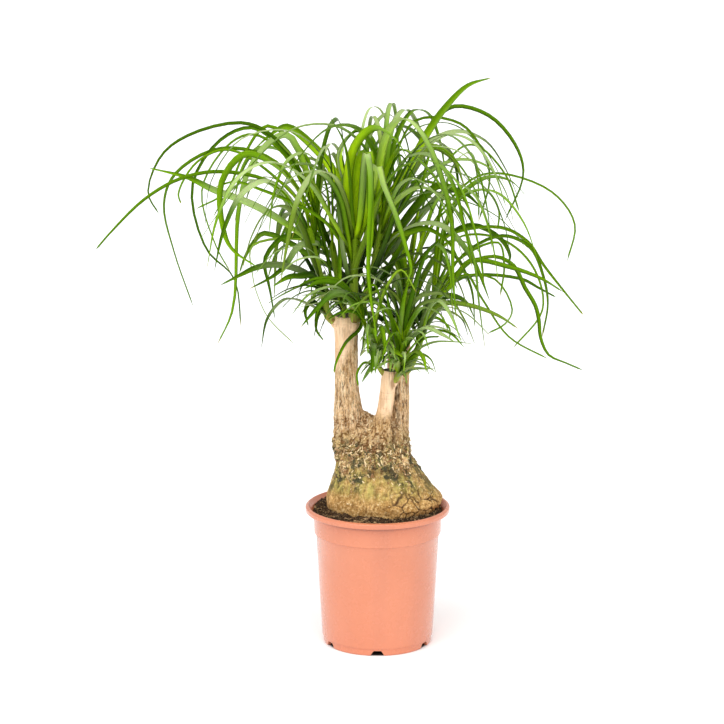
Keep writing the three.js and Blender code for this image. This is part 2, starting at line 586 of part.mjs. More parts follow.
function ballsAlong(stations) {
  const balls = [];
  for (let i = 0; i + 1 < stations.length; i += 1) {
    const a = stations[i];
    const b = stations[i + 1];
    const count = Math.max(1, Math.ceil(a.place.distanceTo(b.place) / 2.5));
    for (let j = 0; j <= count; j += 1) {
      const place = a.place.clone().lerp(b.place, j / count);
      const free = place.distanceTo(stations[0].place) > FUSED_REACH;
      balls.push({ place, radius: mix(a.half, b.half, j / count), free });
    }
  }
  return balls;
}

function occupy(balls, owner) {
  for (const { place, radius, free } of balls) {
    const key = cellKey(place.x, place.y, place.z);
    if (!room.has(key)) {
      room.set(key, []);
    }
    room.get(key).push({ place, radius, free, owner });
  }
}

// Blades of one shoot may touch near its stem, where they are one body, and keep apart beyond it
function isClash(a, b) {
  const gap = a.place.distanceTo(b.place);
  if (a.owner === b.owner) {
    return a.free && b.free && gap < 0.6 * (a.radius + b.radius);
  }
  return gap < a.radius + b.radius + BLADE_SPACE;
}

function isFree(balls, owner) {
  return balls.every(({ place, radius, free }) => {
    for (let n = 0; n < 27; n += 1) {
      const dx = (n % 3) - 1;
      const dy = (Math.floor(n / 3) % 3) - 1;
      const dz = Math.floor(n / 9) - 1;
      const near = room.get(cellKey(place.x + dx * CELL, place.y + dy * CELL, place.z + dz * CELL));
      if (near && near.some((ball) => isClash(ball, { place, radius, free, owner }))) {
        return false;
      }
    }
    return true;
  });
}

// Balls for a thick stem: several round its axis, each no larger than a cell can answer for
function ballsRound(points, radii) {
  const stations = points.map((place, i) => ({ place, half: radii[i] }));
  const balls = [];
  for (const { place, radius } of ballsAlong(stations)) {
    for (let n = 0; n < 8; n += 1) {
      const angle = (n / 8) * 2 * Math.PI;
      const reach = radius * 0.6;
      balls.push({
        place: place.clone().add(new THREE.Vector3(Math.cos(angle) * reach, Math.sin(angle) * reach, 0)),
        radius: radius * 0.45,
      });
    }
    balls.push({ place, radius: Math.min(radius, 6) });
  }
  return balls;
}

function growBlades() {
  const blades = new Map(SHOOTS.map((shoot) => [shoot.name, []]));
  for (const stem of Object.values(TRUNK_STEMS)) {
    occupy(ballsRound(stem.map(vector), stem.map((p) => p[3])), "trunk");
  }
  for (const shoot of SHOOTS) {
    const points = shoot.stem.map(vector);
    occupy(ballsAlong(points.map((place, i) => ({ place, half: shootRadii(shoot)[i] }))), shoot.name);
  }
  const place = (owner, blade) => {
    const stations = stationsOf(blade);
    const balls = ballsAlong(stations);
    if (!isFree(balls, owner)) {
      return false;
    }
    occupy(balls, owner);
    blades.get(owner).push(stations);
    return true;
  };
  for (const [name, rows] of Object.entries(SEEN_BLADES)) {
    const shoot = SHOOTS.find((s) => s.name === name);
    for (const seen of rows) {
      DEPTH_SHIFTS.some((shift) => place(name, seenBlade(shoot, seen, shift)));
    }
  }
  const most = Math.max(...SHOOTS.map((shoot) => shoot.leaves));
  for (let index = 0; index < most; index += 1) {
    for (const shoot of SHOOTS.filter((s) => index < s.leaves)) {
      for (let attempt = 0; attempt < MOST_ATTEMPTS; attempt += 1) {
        const blade = archedBlade(shoot, index, attempt);
        if (insideCrown(blade, shoot.limits) && place(shoot.name, blade)) {
          break;
        }
      }
    }
  }
  return blades;
}

function shootSolid(shoot, blades) {
  let body = solid(shootStem(shoot));
  for (const stations of blades) {
    body = body.add(solid(bladeGeometry(stations)));
  }
  return wholeBody(body);
}

// Materials
const finish = (color, roughness) => new THREE.MeshStandardMaterial({ color, roughness, metalness: 0 });
const POT_PLASTIC = finish(0xf09a74, 0.45);
const PEAT = finish(0x4a3222, 0.95);
const BARK = finish(0xc39a66, 0.85);
const LEAF = finish(0x6f9a24, 0.55);

// The plant
const plant = new THREE.Group();

function addPiece(name, manifold, material) {
  const mesh = new THREE.Mesh(geometryOf(manifold), material);
  mesh.name = name;
  plant.add(mesh);
}

addPiece("pot", potSolid(), POT_PLASTIC);
addPiece("soil", soilSolid(), PEAT);
addPiece("trunk", trunkSolid(), BARK);
const grown = growBlades();
for (const shoot of SHOOTS) {
  addPiece(shoot.name, shootSolid(shoot, grown.get(shoot.name)), LEAF);
}

export default plant;
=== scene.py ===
"""Potted ponytail palm: the looks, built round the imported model.

Sizes are in millimetres until a mesh is made.
"""
import math

import bmesh
import bpy
import numpy as np
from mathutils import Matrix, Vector, noise


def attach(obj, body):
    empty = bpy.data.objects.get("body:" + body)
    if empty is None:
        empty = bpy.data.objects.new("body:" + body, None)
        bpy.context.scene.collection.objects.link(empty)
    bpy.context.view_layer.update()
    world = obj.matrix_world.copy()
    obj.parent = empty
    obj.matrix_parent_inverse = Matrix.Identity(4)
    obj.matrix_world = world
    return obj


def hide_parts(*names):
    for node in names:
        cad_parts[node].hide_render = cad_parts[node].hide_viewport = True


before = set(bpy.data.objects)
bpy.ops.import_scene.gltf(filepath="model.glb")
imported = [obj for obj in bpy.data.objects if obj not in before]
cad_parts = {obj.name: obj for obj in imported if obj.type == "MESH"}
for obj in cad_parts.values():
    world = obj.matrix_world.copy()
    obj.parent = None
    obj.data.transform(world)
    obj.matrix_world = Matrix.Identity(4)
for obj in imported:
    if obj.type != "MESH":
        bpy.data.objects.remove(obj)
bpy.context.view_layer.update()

MM = 0.001
TAU = 2 * math.pi

# Pot
POT_HEIGHT = 186
RIM_RADIUS = 95
WALL = 2
FOOT_RADIUS = 71.5
FOOT_HEIGHT = 9.5
BAND_BOTTOM = 150
FLOOR_TOP = 6.5
NOTCH_COUNT = 6
NOTCH_HEIGHT = 7
NOTCH_BOTTOM_WIDTH = 20
NOTCH_TOP_WIDTH = 10
VENT_RADIUS = 1.2
POT_SIDES = 192
SHARPEST_SMOOTH = 38

# Soil: its level, the space for it inside the pot, and what lies on it
SOIL_LEVEL = 181.5
SOIL_RADIUS = 84
SOIL_SIDES = 260
SOIL_OUTSIDE = (
    (38, 7.2), (67, 7.2), (71.5, 14), (78.6, BAND_BOTTOM - 2), (81, BAND_BOTTOM + 3), (83.6, 178.5),
)
CRUMBS = 700
FIBRES = 18
FRONT_FIBRES = 12
FIBRE_RADIUS = 0.42
FIBRE_STEPS = 6

# Trunk: its sides, the grain of its fine skin, the husk round each shoot's root in that shoot's radii, and
# the scraps of bark
BASE_SIDES = 120
STEM_SIDES = 48
RING_STEPS = 60
VOXEL = 1.3
COLLAR = 1.35
FLAKES = 950
FLAKE_POINTS = 18

# Where the plant is seen from: places read in the picture are on the plane y = 0. The floor is far wider.
EYE = (0, -3460, 1170)
TARGET = (-20.5, 0, 378)
LENS = 135.65
FLOOR_REACH = 60000

# Blades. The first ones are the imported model's own. The thin ones between them count on from EXTRA.
GOLDEN_ANGLE = 2.39996
BLADE_SPACE = 0.9
FUSED_REACH = 45
MOST_STATIONS = 8
TAPER = 2.2
MOST_ATTEMPTS = 60
DEPTH_SHIFTS = (0, 12, -12, 24, -24, 40, -40, 60, -60, 85, -85, 110, -110)
ROOT_DROP = 25
EXTRA = 1000
EXTRA_WIDTH = (0.55, 1)
EXTRA_LOWEST = 432
EXTRA_BACK = 250

# The fine mesh of a blade: its thickness, taper, channel and least half widths, how far it twists, and how
# strongly a slim blade that the picture shows is rolled to face the front
THICKNESS = 0.42
FULL_TAPER = 4
CHANNEL = 0.45
THIN_HALF = 1.3
SEEN_THIN_HALF = 2.1
TWIST = 1.4
SEEN_TWIST = 0.35
SEEN_FACING = 0.9
SLIM = 8
LONG = 220
LONG_STATIONS = 30
SHORT_STATIONS = 20
TUBE_SIDES = 20
TUBE_STEPS = 40
SEAT_DEPTH = 6

# The space that arched blades fill, and the part of it round the trunk, which is bare in front
CROWN = {"left": -225, "right": 205, "front": -225, "back": 265, "lowest": 395, "highest": 700, "middle": 520}
LOW_REACH = 0.7
LOWEST_PER_DEPTH = 0.12
NEAR_TRUNK = {"left": -95, "right": 75, "side": 90}
BARE_STEM = 445
CLEAR_FRONT = 610


# Meshes
def add_object(name, data):
    made = bpy.data.objects.new(name, data)
    bpy.context.scene.collection.objects.link(made)
    return made


def new_mesh(name, points, faces):
    mesh = bpy.data.meshes.new(name)
    mesh.from_pydata((np.asarray(points, float) * MM).tolist(), [], faces)
    return mesh


def joined(parts):
    """The points and faces of several parts as those of one."""
    starts = np.cumsum([0] + [len(points) for points, _ in parts]).tolist()
    faces = [tuple(i + start for i in face) for start, part in zip(starts, parts) for face in part[1]]
    return np.concatenate([points for points, _ in parts]), faces


def set_values(mesh, values):
    """Gives each point the numbers that the materials read under these labels."""
    for label, numbers in values.items():
        layer = mesh.attributes.new(label, "FLOAT", "POINT")
        layer.data.foreach_set("value", np.asarray(numbers, np.float32))


def dress(piece, material, replaces=()):
    piece.data.materials.clear()
    piece.data.materials.append(material)
    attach(piece, "root")
    if replaces:
        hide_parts(*replaces)
    return piece


def make_piece(name, shape, material, replaces=(), values=None):
    mesh = new_mesh(name, *shape)
    set_values(mesh, values or {})
    mesh.shade_smooth()
    return dress(add_object(name, mesh), material, replaces)


def cutter(name, parts):
    """A bare object that holds several parts, for a modifier to work on."""
    return add_object(name, new_mesh(name, *joined(parts)))


def apply_modifier(piece, kind, **settings):
    modifier = piece.modifiers.new(kind.title(), kind)
    for name, setting in settings.items():
        setattr(modifier, name, setting)
    bpy.context.view_layer.update()
    evaluated = piece.evaluated_get(bpy.context.evaluated_depsgraph_get())
    mesh = bpy.data.meshes.new_from_object(evaluated)
    piece.modifiers.clear()
    piece.data = mesh
    return piece


def vertex_numbers(mesh, what, items=None):
    items = items or mesh.vertices
    numbers = np.empty(len(items) * 3, np.float32)
    items.foreach_get(what, numbers)
    return numbers.reshape(-1, 3).astype(float)


def ring_faces(rings, sides, first=0):
    """Quads between rings of points, where each ring starts after the one before it."""
    faces = []
    for ring in range(rings - 1):
        low = first + ring * sides
        for side in range(sides):
            following = (side + 1) % sides
            faces.append((low + side, low + following, low + sides + following, low + sides + side))
    return faces


def capped(rings):
    """Points and faces of a closed skin over rings, with a flat cap at each end."""
    sides = len(rings[0])
    faces = ring_faces(len(rings), sides)
    faces.append(tuple(reversed(range(sides))))
    last = (len(rings) - 1) * sides
    faces.append(tuple(range(last, last + sides)))
    return np.concatenate(rings), faces


def turned(profile, sides):
    """Points and faces of a turned piece whose profile starts and ends on the axis."""
    angles = np.arange(sides) * TAU / sides
    (_, bottom), *middle, (_, top) = profile
    rings = [np.stack([r * np.cos(angles), r * np.sin(angles), np.full(sides, z)], 1) for r, z in middle]
    points = np.concatenate([[(0, 0, bottom)], *rings, [(0, 0, top)]])
    faces = ring_faces(len(rings), sides, 1)
    last = len(points) - 1
    for side in range(sides):
        following = (side + 1) % sides
        faces.append((0, 1 + following, 1 + side))
        faces.append((last, last - sides + side, last - sides + following))
    return points, faces


def turned_about_z(points, angle):
    c, s = math.cos(angle), math.sin(angle)
    return np.asarray(points) @ np.array([[c, s, 0], [-s, c, 0], [0, 0, 1]])


def arc(x, z, radius, start, end, steps):
    """Points of an arc in a profile, with its angles in degrees."""
    angles = np.radians(np.linspace(start, end, steps))
    return [(x + radius * math.cos(a), z + radius * math.sin(a)) for a in angles]


def prism(outline, start, end):
    """A prism along -Y whose outline is given in x and z."""
    rings = [np.array([(x, y, z) for x, z in outline], float) for y in (start, end)]
    return capped(rings)


# Curves
def curve_spans(points):
    """The cubics of a centripetal Catmull-Rom curve, one row for each span."""
    points = np.asarray(points, float)
    points = np.concatenate([[2 * points[0] - points[1]], points, [2 * points[-1] - points[-2]]])
    p0, p1, p2, p3 = points[:-3], points[1:-2], points[2:-1], points[3:]
    d0, d1, d2 = (((b - a) ** 2).sum(1)[:, None] ** 0.25 for a, b in ((p0, p1), (p1, p2), (p2, p3)))
    t1 = ((p1 - p0) / d0 - (p2 - p0) / (d0 + d1) + (p2 - p1) / d1) * d1
    t2 = ((p2 - p1) / d1 - (p3 - p1) / (d1 + d2) + (p3 - p2) / d2) * d1
    return p1, t1, -3 * p1 + 3 * p2 - 2 * t1 - t2, 2 * p1 - 2 * p2 + t1 + t2


def on_curve(spans, shares):
    count = len(spans[0])
    places = np.clip(shares, 0, 1) * count
    span = np.minimum(places.astype(int), count - 1)
    t = (places - span)[:, None]
    a, b, c, d = (part[span] for part in spans)
    return a + t * (b + t * (c + t * d))


def curve_directions(spans, shares):
    step = 0.0001
    directions = (on_curve(spans, shares + step) - on_curve(spans, shares - step))[:, :3]
    return directions / np.linalg.norm(directions, axis=1)[:, None]


def tube_rings(rows, sides, steps):
    """Rings of a round stem through rows of x, y, z and radius."""
    spans = curve_spans(rows)
    shares = np.linspace(0, 1, steps)
    angles = np.arange(sides) * TAU / sides
    rings = []
    for row, along in zip(on_curve(spans, shares), curve_directions(spans, shares)):
        u = np.array([0, 1, 0]) - along[1] * along
        u /= np.linalg.norm(u)
        v = np.cross(along, u)
        rings.append(row[:3] + row[3] * (np.outer(np.cos(angles), u) + np.outer(np.sin(angles), v)))
    return rings


# Numbers
def mix(a, b, t):
    return a + (b - a) * t


def smooth_step(low, high, value):
    t = np.clip((value - low) / (high - low), 0, 1)
    return t * t * (3 - 2 * t)


def noise_over(points, scale, seed=0):
    """Smooth noise from -1 to 1 at each point, whose scale is in waves per millimetre on each axis."""
    spots = points * np.asarray(scale) + seed
    return np.array([noise.noise(Vector(spot)) for spot in spots.tolist()])


def cells_over(points, scale, seed=0):
    """How far each point is from the nearest border between random cells."""
    spots = points * np.asarray(scale) + seed
    found = np.empty(len(spots))
    for i, spot in enumerate(spots.tolist()):
        distances = noise.voronoi(Vector(spot))[0]
        found[i] = distances[1] - distances[0]
    return found


# Materials
class Look:
    """A new material, with short calls for its nodes."""

    def __init__(self, name, base, roughness, specular):
        self.material = bpy.data.materials.new(name)
        self.material.use_nodes = True
        self.tree = self.material.node_tree
        self.shader = self.tree.nodes["Principled BSDF"]
        self.place = self.add("TexCoord", "Object")
        self.set("Base Color", base)
        self.set("Roughness", roughness)
        self.set("Specular IOR Level", specular)

    def set(self, socket, source):
        self.link(source, self.shader.inputs[socket])

    def link(self, source, socket):
        if isinstance(source, (int, float)):
            socket.default_value = source
        elif isinstance(source, tuple):
            socket.default_value = (*source, 1) if len(socket.default_value) == 4 else source
        else:
            self.tree.links.new(source, socket)

    def add(self, kind, output, inputs=(), **settings):
        """A new node's output. Its inputs are numbers, colours, or the outputs of other nodes."""
        node = self.tree.nodes.new("ShaderNode" + kind)
        for name, setting in settings.items():
            setattr(node, name, setting)
        for socket, source in dict(inputs).items():
            self.link(source, node.inputs[socket])
        return node.outputs[output]

    def value(self, label):
        return self.add("Attribute", "Fac", attribute_name=label)

    def stretched(self, scale):
        return self.add("Mapping", "Vector", {"Scale": scale, "Vector": self.place})

    def height(self):
        return self.add("SeparateXYZ", "Z", {"Vector": self.place})

    def from_axis(self):
        """How far a place is from the pot's axis."""
        return self.add("VectorMath", "Value", {0: self.stretched((1, 1, 0))}, operation="LENGTH")

    def warped(self, amount, scale, stretch):
        """Stretched coordinates, pushed about by noise so that no pattern in them is regular."""
        push = self.add("TexNoise", "Color", {"Scale": scale, "Vector": self.place})
        inputs = {0: push, 1: (amount / scale,) * 3, 2: self.stretched(stretch)}
        return self.add("VectorMath", "Vector", inputs, operation="MULTIPLY_ADD")

    def noise(self, scale, detail=4, roughness=0.55, stretch=None):
        vector = self.stretched(stretch) if stretch else self.place
        return self.add("TexNoise", "Fac", {
            "Scale": scale, "Detail": detail, "Roughness": roughness, "Vector": vector})

    def cells(self, scale, feature, vector):
        return self.add("TexVoronoi", "Distance", {"Scale": scale, "Vector": vector}, feature=feature)

    def ramp(self, source, low, high, start=0.0, end=1.0):
        """A smooth step from start, where the source is low, to end, where it is high."""
        inputs = {"From Min": low, "From Max": high, "To Min": start, "To Max": end, "Value": source}
        return self.add("MapRange", "Result", inputs, interpolation_type="SMOOTHSTEP")

    def math(self, kind, a, b):
        return self.add("Math", "Value", {0: a, 1: b}, operation=kind)

    def mix(self, share, a, b, kind="MIX"):
        inputs = {"Factor": share, "A": a, "B": b}
        return self.add("Mix", "Result", inputs, data_type="RGBA", blend_type=kind)

    def layers(self, color, *rows, within=None):
        """Colours laid over one another. A row has a source, the ends of its ramp and the colour on top."""
        for source, *ends, over in rows:
            share = self.ramp(source, *ends)
            color = self.mix(self.math("MULTIPLY", share, within) if within else share, color, over)
        return color

    def bump(self, *heights):
        """Relief, from rows of a height, its strength and its distance in metres."""
        normal = None
        for height, strength, distance in heights:
            inputs = {"Strength": strength, "Distance": distance, "Height": height}
            normal = self.add("Bump", "Normal", {**inputs, **({"Normal": normal} if normal else {})})
        self.set("Normal", normal)


def pot_plastic():
    look = Look("pot_plastic", (0.86, 0.3, 0.17), 0.42, 0.5)
    height = look.height()
    color = look.layers(
        (0.655, 0.212, 0.105),
        (look.noise(14, 3), 0.3, 0.7, (0.69, 0.23, 0.118)),
        (look.noise(22, 2, 0.5, (1, 1, 0.03)), 0.38, 0.66, 0, 0.35, (0.56, 0.19, 0.11)),
        (look.noise(260, 5, 0.7, (1, 1, 0.25)), 0.6, 0.8, 0, 0.08, (0.78, 0.36, 0.24)),
    )
    # Painted shadow: a dark line on the wall just under the lip
    below_lip = look.ramp(height, 0.1778, 0.1784, 1, 0)
    color = look.layers(color, (height, 0.1715, 0.176, 0, 0.75, (0.3, 0.09, 0.05)), within=below_lip)
    look.set("Base Color", color)
    look.set("Roughness", look.ramp(look.noise(90), 0.3, 0.7, 0.22, 0.3))
    look.set("Coat Weight", 0.5)
    look.set("Coat Roughness", 0.2)
    look.bump((look.noise(300, 2), 0.01, 0.0003))
    return look.material


def peat():
    look = Look("peat", (0.06, 0.035, 0.02), 0.95, 0.2)
    grain = look.noise(420, 6, 0.7)
    look.set("Base Color", look.layers(
        (0.007, 0.003, 0.0015),
        (grain, 0.38, 0.68, (0.1, 0.05, 0.02)),
        (look.noise(70, 3), 0.55, 0.8, 0, 0.4, (0.15, 0.085, 0.035)),
        (look.noise(600, 3, 0.6), 0.6, 0.66, 0, 0.85, (0.42, 0.28, 0.14)),
        (look.value("tone"), 0.55, 1, 0, 0.85, (0.36, 0.24, 0.12)),
    ))
    look.bump((grain, 0.9, 0.0016))
    return look.material


def root_fibre():
    look = Look("root_fibre", (0.5, 0.3, 0.14), 0.8, 0.2)
    stripes = look.noise(180, 3)
    look.set("Base Color", look.layers((0.3, 0.16, 0.07), (stripes, 0.35, 0.65, (0.62, 0.42, 0.22))))
    look.bump((look.noise(700, 3), 0.4, 0.0004))
    return look.material


def bark():
    """Flaky bark on the base, fibres on the stems, smooth skin above, then moss, stains, cracks and cuts,
    with painted shade in the pits and hollows, on the base's sides, under the ledge and beside the front
    stem.
    """
    look = Look("bark", (0.48, 0.31, 0.15), 0.85, 0.25)
    specks = look.noise(290, 6, 0.75)
    patches = look.noise(55, 5, 0.65)
    grain = look.noise(900, 4, 0.7)
    flakes = look.cells(210, "F1", look.warped(0.9, 70, (1, 1, 0.7)))
    gaps = look.cells(150, "DISTANCE_TO_EDGE", look.warped(1.1, 60, (1, 1, 0.6)))
    ridges = look.noise(330, 5, 0.62, (1, 1, 0.11))
    slits = look.noise(520, 4, 0.6, (1, 1, 0.17))
    fleck = look.noise(620, 5, 0.7, (1, 1, 0.45))
    streaks = look.noise(160, 6, 0.65, (1, 1, 0.14))
    rings = look.noise(170, 4, 0.6, (0.25, 0.25, 2.2))
    runs = look.noise(190, 5, 0.65, (1, 1, 0.3))
    rugged, stem, smooth = (look.value(label) for label in ("rugged", "stem", "smooth"))
    pink = look.layers((0.44, 0.235, 0.11), (patches, 0.35, 0.65, (0.92, 0.58, 0.34)))
    base = look.layers(
        (0.42, 0.225, 0.062), (patches, 0.35, 0.65, (0.68, 0.41, 0.145)), (rugged, 0.3, 1, 0, 0.8, pink),
    )
    base = look.layers(
        base,
        (flakes, 0.1, 0.4, 0.6, 0, (0.86, 0.6, 0.26)),
        (gaps, 0.0, 0.07, 0.5, 0, (0.26, 0.14, 0.045)),
        (specks, 0.53, 0.59, (0.97, 0.76, 0.4)),
        # Painted shade in the low pits of the specks, which also raise the bump
        (specks, 0.4, 0.48, 1, 0, (0.1, 0.048, 0.014)),
        within=look.ramp(rugged, 0, 1, 0.6, 1),
    )
    wood = look.layers(
        (0.64, 0.39, 0.18),
        (patches, 0.32, 0.68, (0.92, 0.64, 0.37)),
        (ridges, 0.5, 0.66, 0, 0.85, (1, 0.86, 0.6)),
        (ridges, 0.34, 0.47, 0.9, 0, (0.27, 0.145, 0.055)),
        (slits, 0.36, 0.46, 0.85, 0, (0.13, 0.066, 0.025)),
        (fleck, 0.4, 0.47, 0.5, 0, (0.24, 0.13, 0.055)),
        (fleck, 0.54, 0.62, 0, 0.55, (1, 0.88, 0.64)),
    )
    skin = look.layers(
        (0.92, 0.6, 0.36),
        (streaks, 0.3, 0.7, (1, 0.76, 0.52)),
        (rings, 0.6, 0.72, 0, 0.5, (0.6, 0.3, 0.16)),
        (specks, 0.6, 0.72, 0, 0.35, (0.55, 0.31, 0.17)),
    )
    color = look.mix(smooth, look.mix(stem, base, wood), skin)
    moss = look.layers((0.14, 0.125, 0.028), (runs, 0.36, 0.64, (0.62, 0.52, 0.15)))
    spread = look.noise(60, 6, 0.7, (1, 1, 0.5))
    color = look.layers(color, (spread, 0.36, 0.58, 0.1, 0.92, moss), within=look.value("algae"))
    # Stains on the rugged belt, with painted shade on the base's sides and under the ledge
    stain_and_shade = (look.noise(85, 6, 0.8), 0.46, 0.53, 0, 0.95, (0.05, 0.055, 0.028))
    color = look.layers(color, stain_and_shade, within=look.value("stain_and_shade"))
    # Painted shade in the hollows
    color = look.mix(look.value("hollow"), color, (0.36, 0.27, 0.19), "MULTIPLY")
    # Dark cracks, with painted shade under the ledge and beside the front stem
    color = look.mix(look.value("crack"), color, (0.085, 0.043, 0.016))
    cut = look.layers((0.05, 0.04, 0.035), (grain, 0.4, 0.6, (0.3, 0.25, 0.2)))
    color = look.mix(look.value("cut"), color, cut)
    color = look.mix(look.ramp(grain, 0.4, 0.6, 0, 0.25), color, (0.9, 0.74, 0.5), "MULTIPLY")
    look.set("Base Color", color)
    rough = look.math("SUBTRACT", 1.0, smooth)
    wooden = look.math("MULTIPLY", stem, look.math("MULTIPLY", rough, ridges))
    flaky = look.math("MULTIPLY", rugged, look.ramp(gaps, 0.0, 0.12))
    look.bump((flaky, 0.4, 0.0015), (wooden, 0.8, 0.004), (specks, 0.45, 0.002), (streaks, 0.25, 0.0008))
    return look.material


def flake_bark():
    look = Look("bark_flake", (0.7, 0.5, 0.26), 0.8, 0.25)
    look.set("Base Color", look.layers(
        (0.27, 0.12, 0.05),
        (look.value("tone"), 0.2, 0.8, (1, 0.8, 0.47)),
        (look.noise(500), 0.4, 0.65, 0, 0.4, (0.5, 0.33, 0.15)),
    ))
    look.bump((look.noise(800, 3), 0.3, 0.0004))
    return look.material


def leaf():
    """Green by age and tone, with veins, painted shade on one half of each blade, pale husks, painted shade
    deep in the crown and at the roots, a painted sheen and dry tips.
    """
    look = Look("leaf", (0.14, 0.3, 0.03), 0.45, 0.1)
    tone, across, pale = (look.value(label) for label in ("tone", "across", "pale"))
    mottle = look.noise(60)
    veins = look.math("PINGPONG", look.math("MULTIPLY", across, 3.5), 0.5)
    husks = look.noise(420, 4, 0.6, (1, 1, 0.22))
    old = look.mix(tone, (0.009, 0.035, 0.0002), (0.062, 0.168, 0.001))
    young = look.mix(tone, (0.085, 0.22, 0.0005), (0.51, 0.78, 0.006))
    outer = look.mix(tone, (0.03, 0.094, 0.0004), (0.135, 0.29, 0.003))
    color = look.mix(look.value("outer"), look.layers(old, (look.value("age"), 0.15, 0.95, young)), outer)
    color = look.layers(
        color,
        (mottle, 0.45, 0.75, 0, 0.3, (0.13, 0.26, 0.008)),
        (veins, 0.0, 0.5, 0, 0.22, (0.2, 0.38, 0.012)),
    )
    # Painted shade on one half of each blade, the half turned from the light where it folds
    color = look.mix(look.ramp(across, -0.7, 0.25, 0.75, 0), color, (0.35, 0.42, 0.3), "MULTIPLY")
    color = look.mix(pale, color, (0.46, 0.52, 0.1))
    color = look.layers(color, (husks, 0.42, 0.54, (0.24, 0.13, 0.05)), within=look.ramp(pale, 0.3, 0.72))
    # Painted shade deep in the crown, on the older blades and at the roots of all blades
    color = look.mix(look.value("deep"), color, (0.09, 0.17, 0.03), "MULTIPLY")
    color = look.mix(look.value("sheen"), color, (0.56, 0.68, 0.3))
    color = look.mix(look.value("dry"), color, (0.6, 0.42, 0.08))
    look.set("Base Color", color)
    look.set("Roughness", look.ramp(mottle, 0.3, 0.7, 0.3, 0.45))
    look.set("Specular Tint", (0.7, 1, 0.2))
    look.set("Subsurface Weight", 0.12)
    look.set("Subsurface Radius", (0.5, 1.0, 0.15))
    look.set("Subsurface Scale", 0.0015)
    look.bump((veins, 0.25, 0.0003))
    return look.material


def floor_white():
    """Pale, with a painted shadow only where the pot stands on it, which shows through the notches."""
    look = Look("floor_white", (0.95, 0.95, 0.95), 0.7, 0.2)
    radius = look.from_axis()
    # Painted shadow: dark within the pot's foot
    look.set("Base Color", look.layers((0.05, 0.045, 0.04), (radius, 0.066, 0.071, (0.95, 0.95, 0.95))))
    look.set("Emission Color", (1, 1, 1))
    look.set("Emission Strength", look.ramp(radius, 0.066, 0.076, 0, 0.11))
    return look.material


POT_PLASTIC = pot_plastic()
PEAT = peat()
ROOT_FIBRE = root_fibre()
BARK = bark()
FLAKE = flake_bark()
LEAF = leaf()

# Pot: its profile, from the middle of its underside round to the middle of its floor
UNDERSIDE = [
    (0, 0), (39, 0), *arc(39.5, 1, 1, 270, 350, 4), (42.5, 3.6), (44, 4.5), (63.5, 4.5), (65, 3.6),
    *arc(67, 1, 1, 190, 270, 4), *arc(FOOT_RADIUS - 2, 2, 2, 270, 360, 5),
]
OUTER_WALL = [
    (FOOT_RADIUS, FOOT_HEIGHT - 0.4), (FOOT_RADIUS + 0.15, FOOT_HEIGHT),
    (FOOT_RADIUS + 1.6, FOOT_HEIGHT + 0.5), (FOOT_RADIUS + 1.8, FOOT_HEIGHT + 1.1), (77.4, 82),
    (81.05, BAND_BOTTOM - 1.2), (81.5, BAND_BOTTOM - 0.5), (83.1, BAND_BOTTOM - 0.1),
    (83.55, BAND_BOTTOM + 0.4), (84.2, 165), (84.75, 176.8),
    *arc(85.7, 178.1, 0.9, 180, 90, 4), (88, 179.4), (RIM_RADIUS - 2.2, 178.6),
    *arc(RIM_RADIUS - 0.8, 179.3, 0.8, 250, 360, 5), (RIM_RADIUS, 182.4),
    *arc(RIM_RADIUS - 1.5, 183.3, 1.5, 0, 65, 5), (RIM_RADIUS - 2, 185.3), *arc(91.6, 185, 1, 90, 135, 4),
]
INNER_WALL = [
    (90, 184.2), (87, POT_HEIGHT - 4), (84.8 - WALL, 176), (83.5 - WALL, BAND_BOTTOM + 1.5),
    (81.1 - WALL, BAND_BOTTOM - 1), (FOOT_RADIUS + 1.8 - WALL, FOOT_HEIGHT + 3),
    (FOOT_RADIUS - 3.5, FLOOR_TOP), (42, FLOOR_TOP), (38, 2.5), (0, 2.5),
]


def build_pot():
    """The turned shell, with its drain notches and the small vents between them cut out."""
    profile = UNDERSIDE + OUTER_WALL + INNER_WALL
    pot = make_piece("pot_shell", turned(profile, POT_SIDES), POT_PLASTIC, ["pot"])
    low, high = NOTCH_BOTTOM_WIDTH / 2, NOTCH_TOP_WIDTH / 2
    notch = [
        (-low, -1), (low, -1), (high + 1, NOTCH_HEIGHT - 1.2), (high - 0.6, NOTCH_HEIGHT),
        (-high + 0.6, NOTCH_HEIGHT), (-high - 1, NOTCH_HEIGHT - 1.2),
    ]
    vent = arc(0, FOOT_HEIGHT + 0.2, VENT_RADIUS, 0, 330, 12)
    parts = []
    for i in range(NOTCH_COUNT):
        angle = i / NOTCH_COUNT * TAU
        for outline, start, end, turn in ((notch, -60, -80, 0), (vent, -71.6, -80, TAU / 12)):
            points, faces = prism(outline, start, end)
            parts.append((turned_about_z(points, angle + turn), faces))
    cuts = cutter("notches", parts)
    apply_modifier(pot, "BOOLEAN", object=cuts, operation="DIFFERENCE", solver="EXACT")
    bpy.data.objects.remove(cuts)
    pot.data.shade_smooth()
    pot.data.set_sharp_from_angle(angle=math.radians(SHARPEST_SMOOTH))


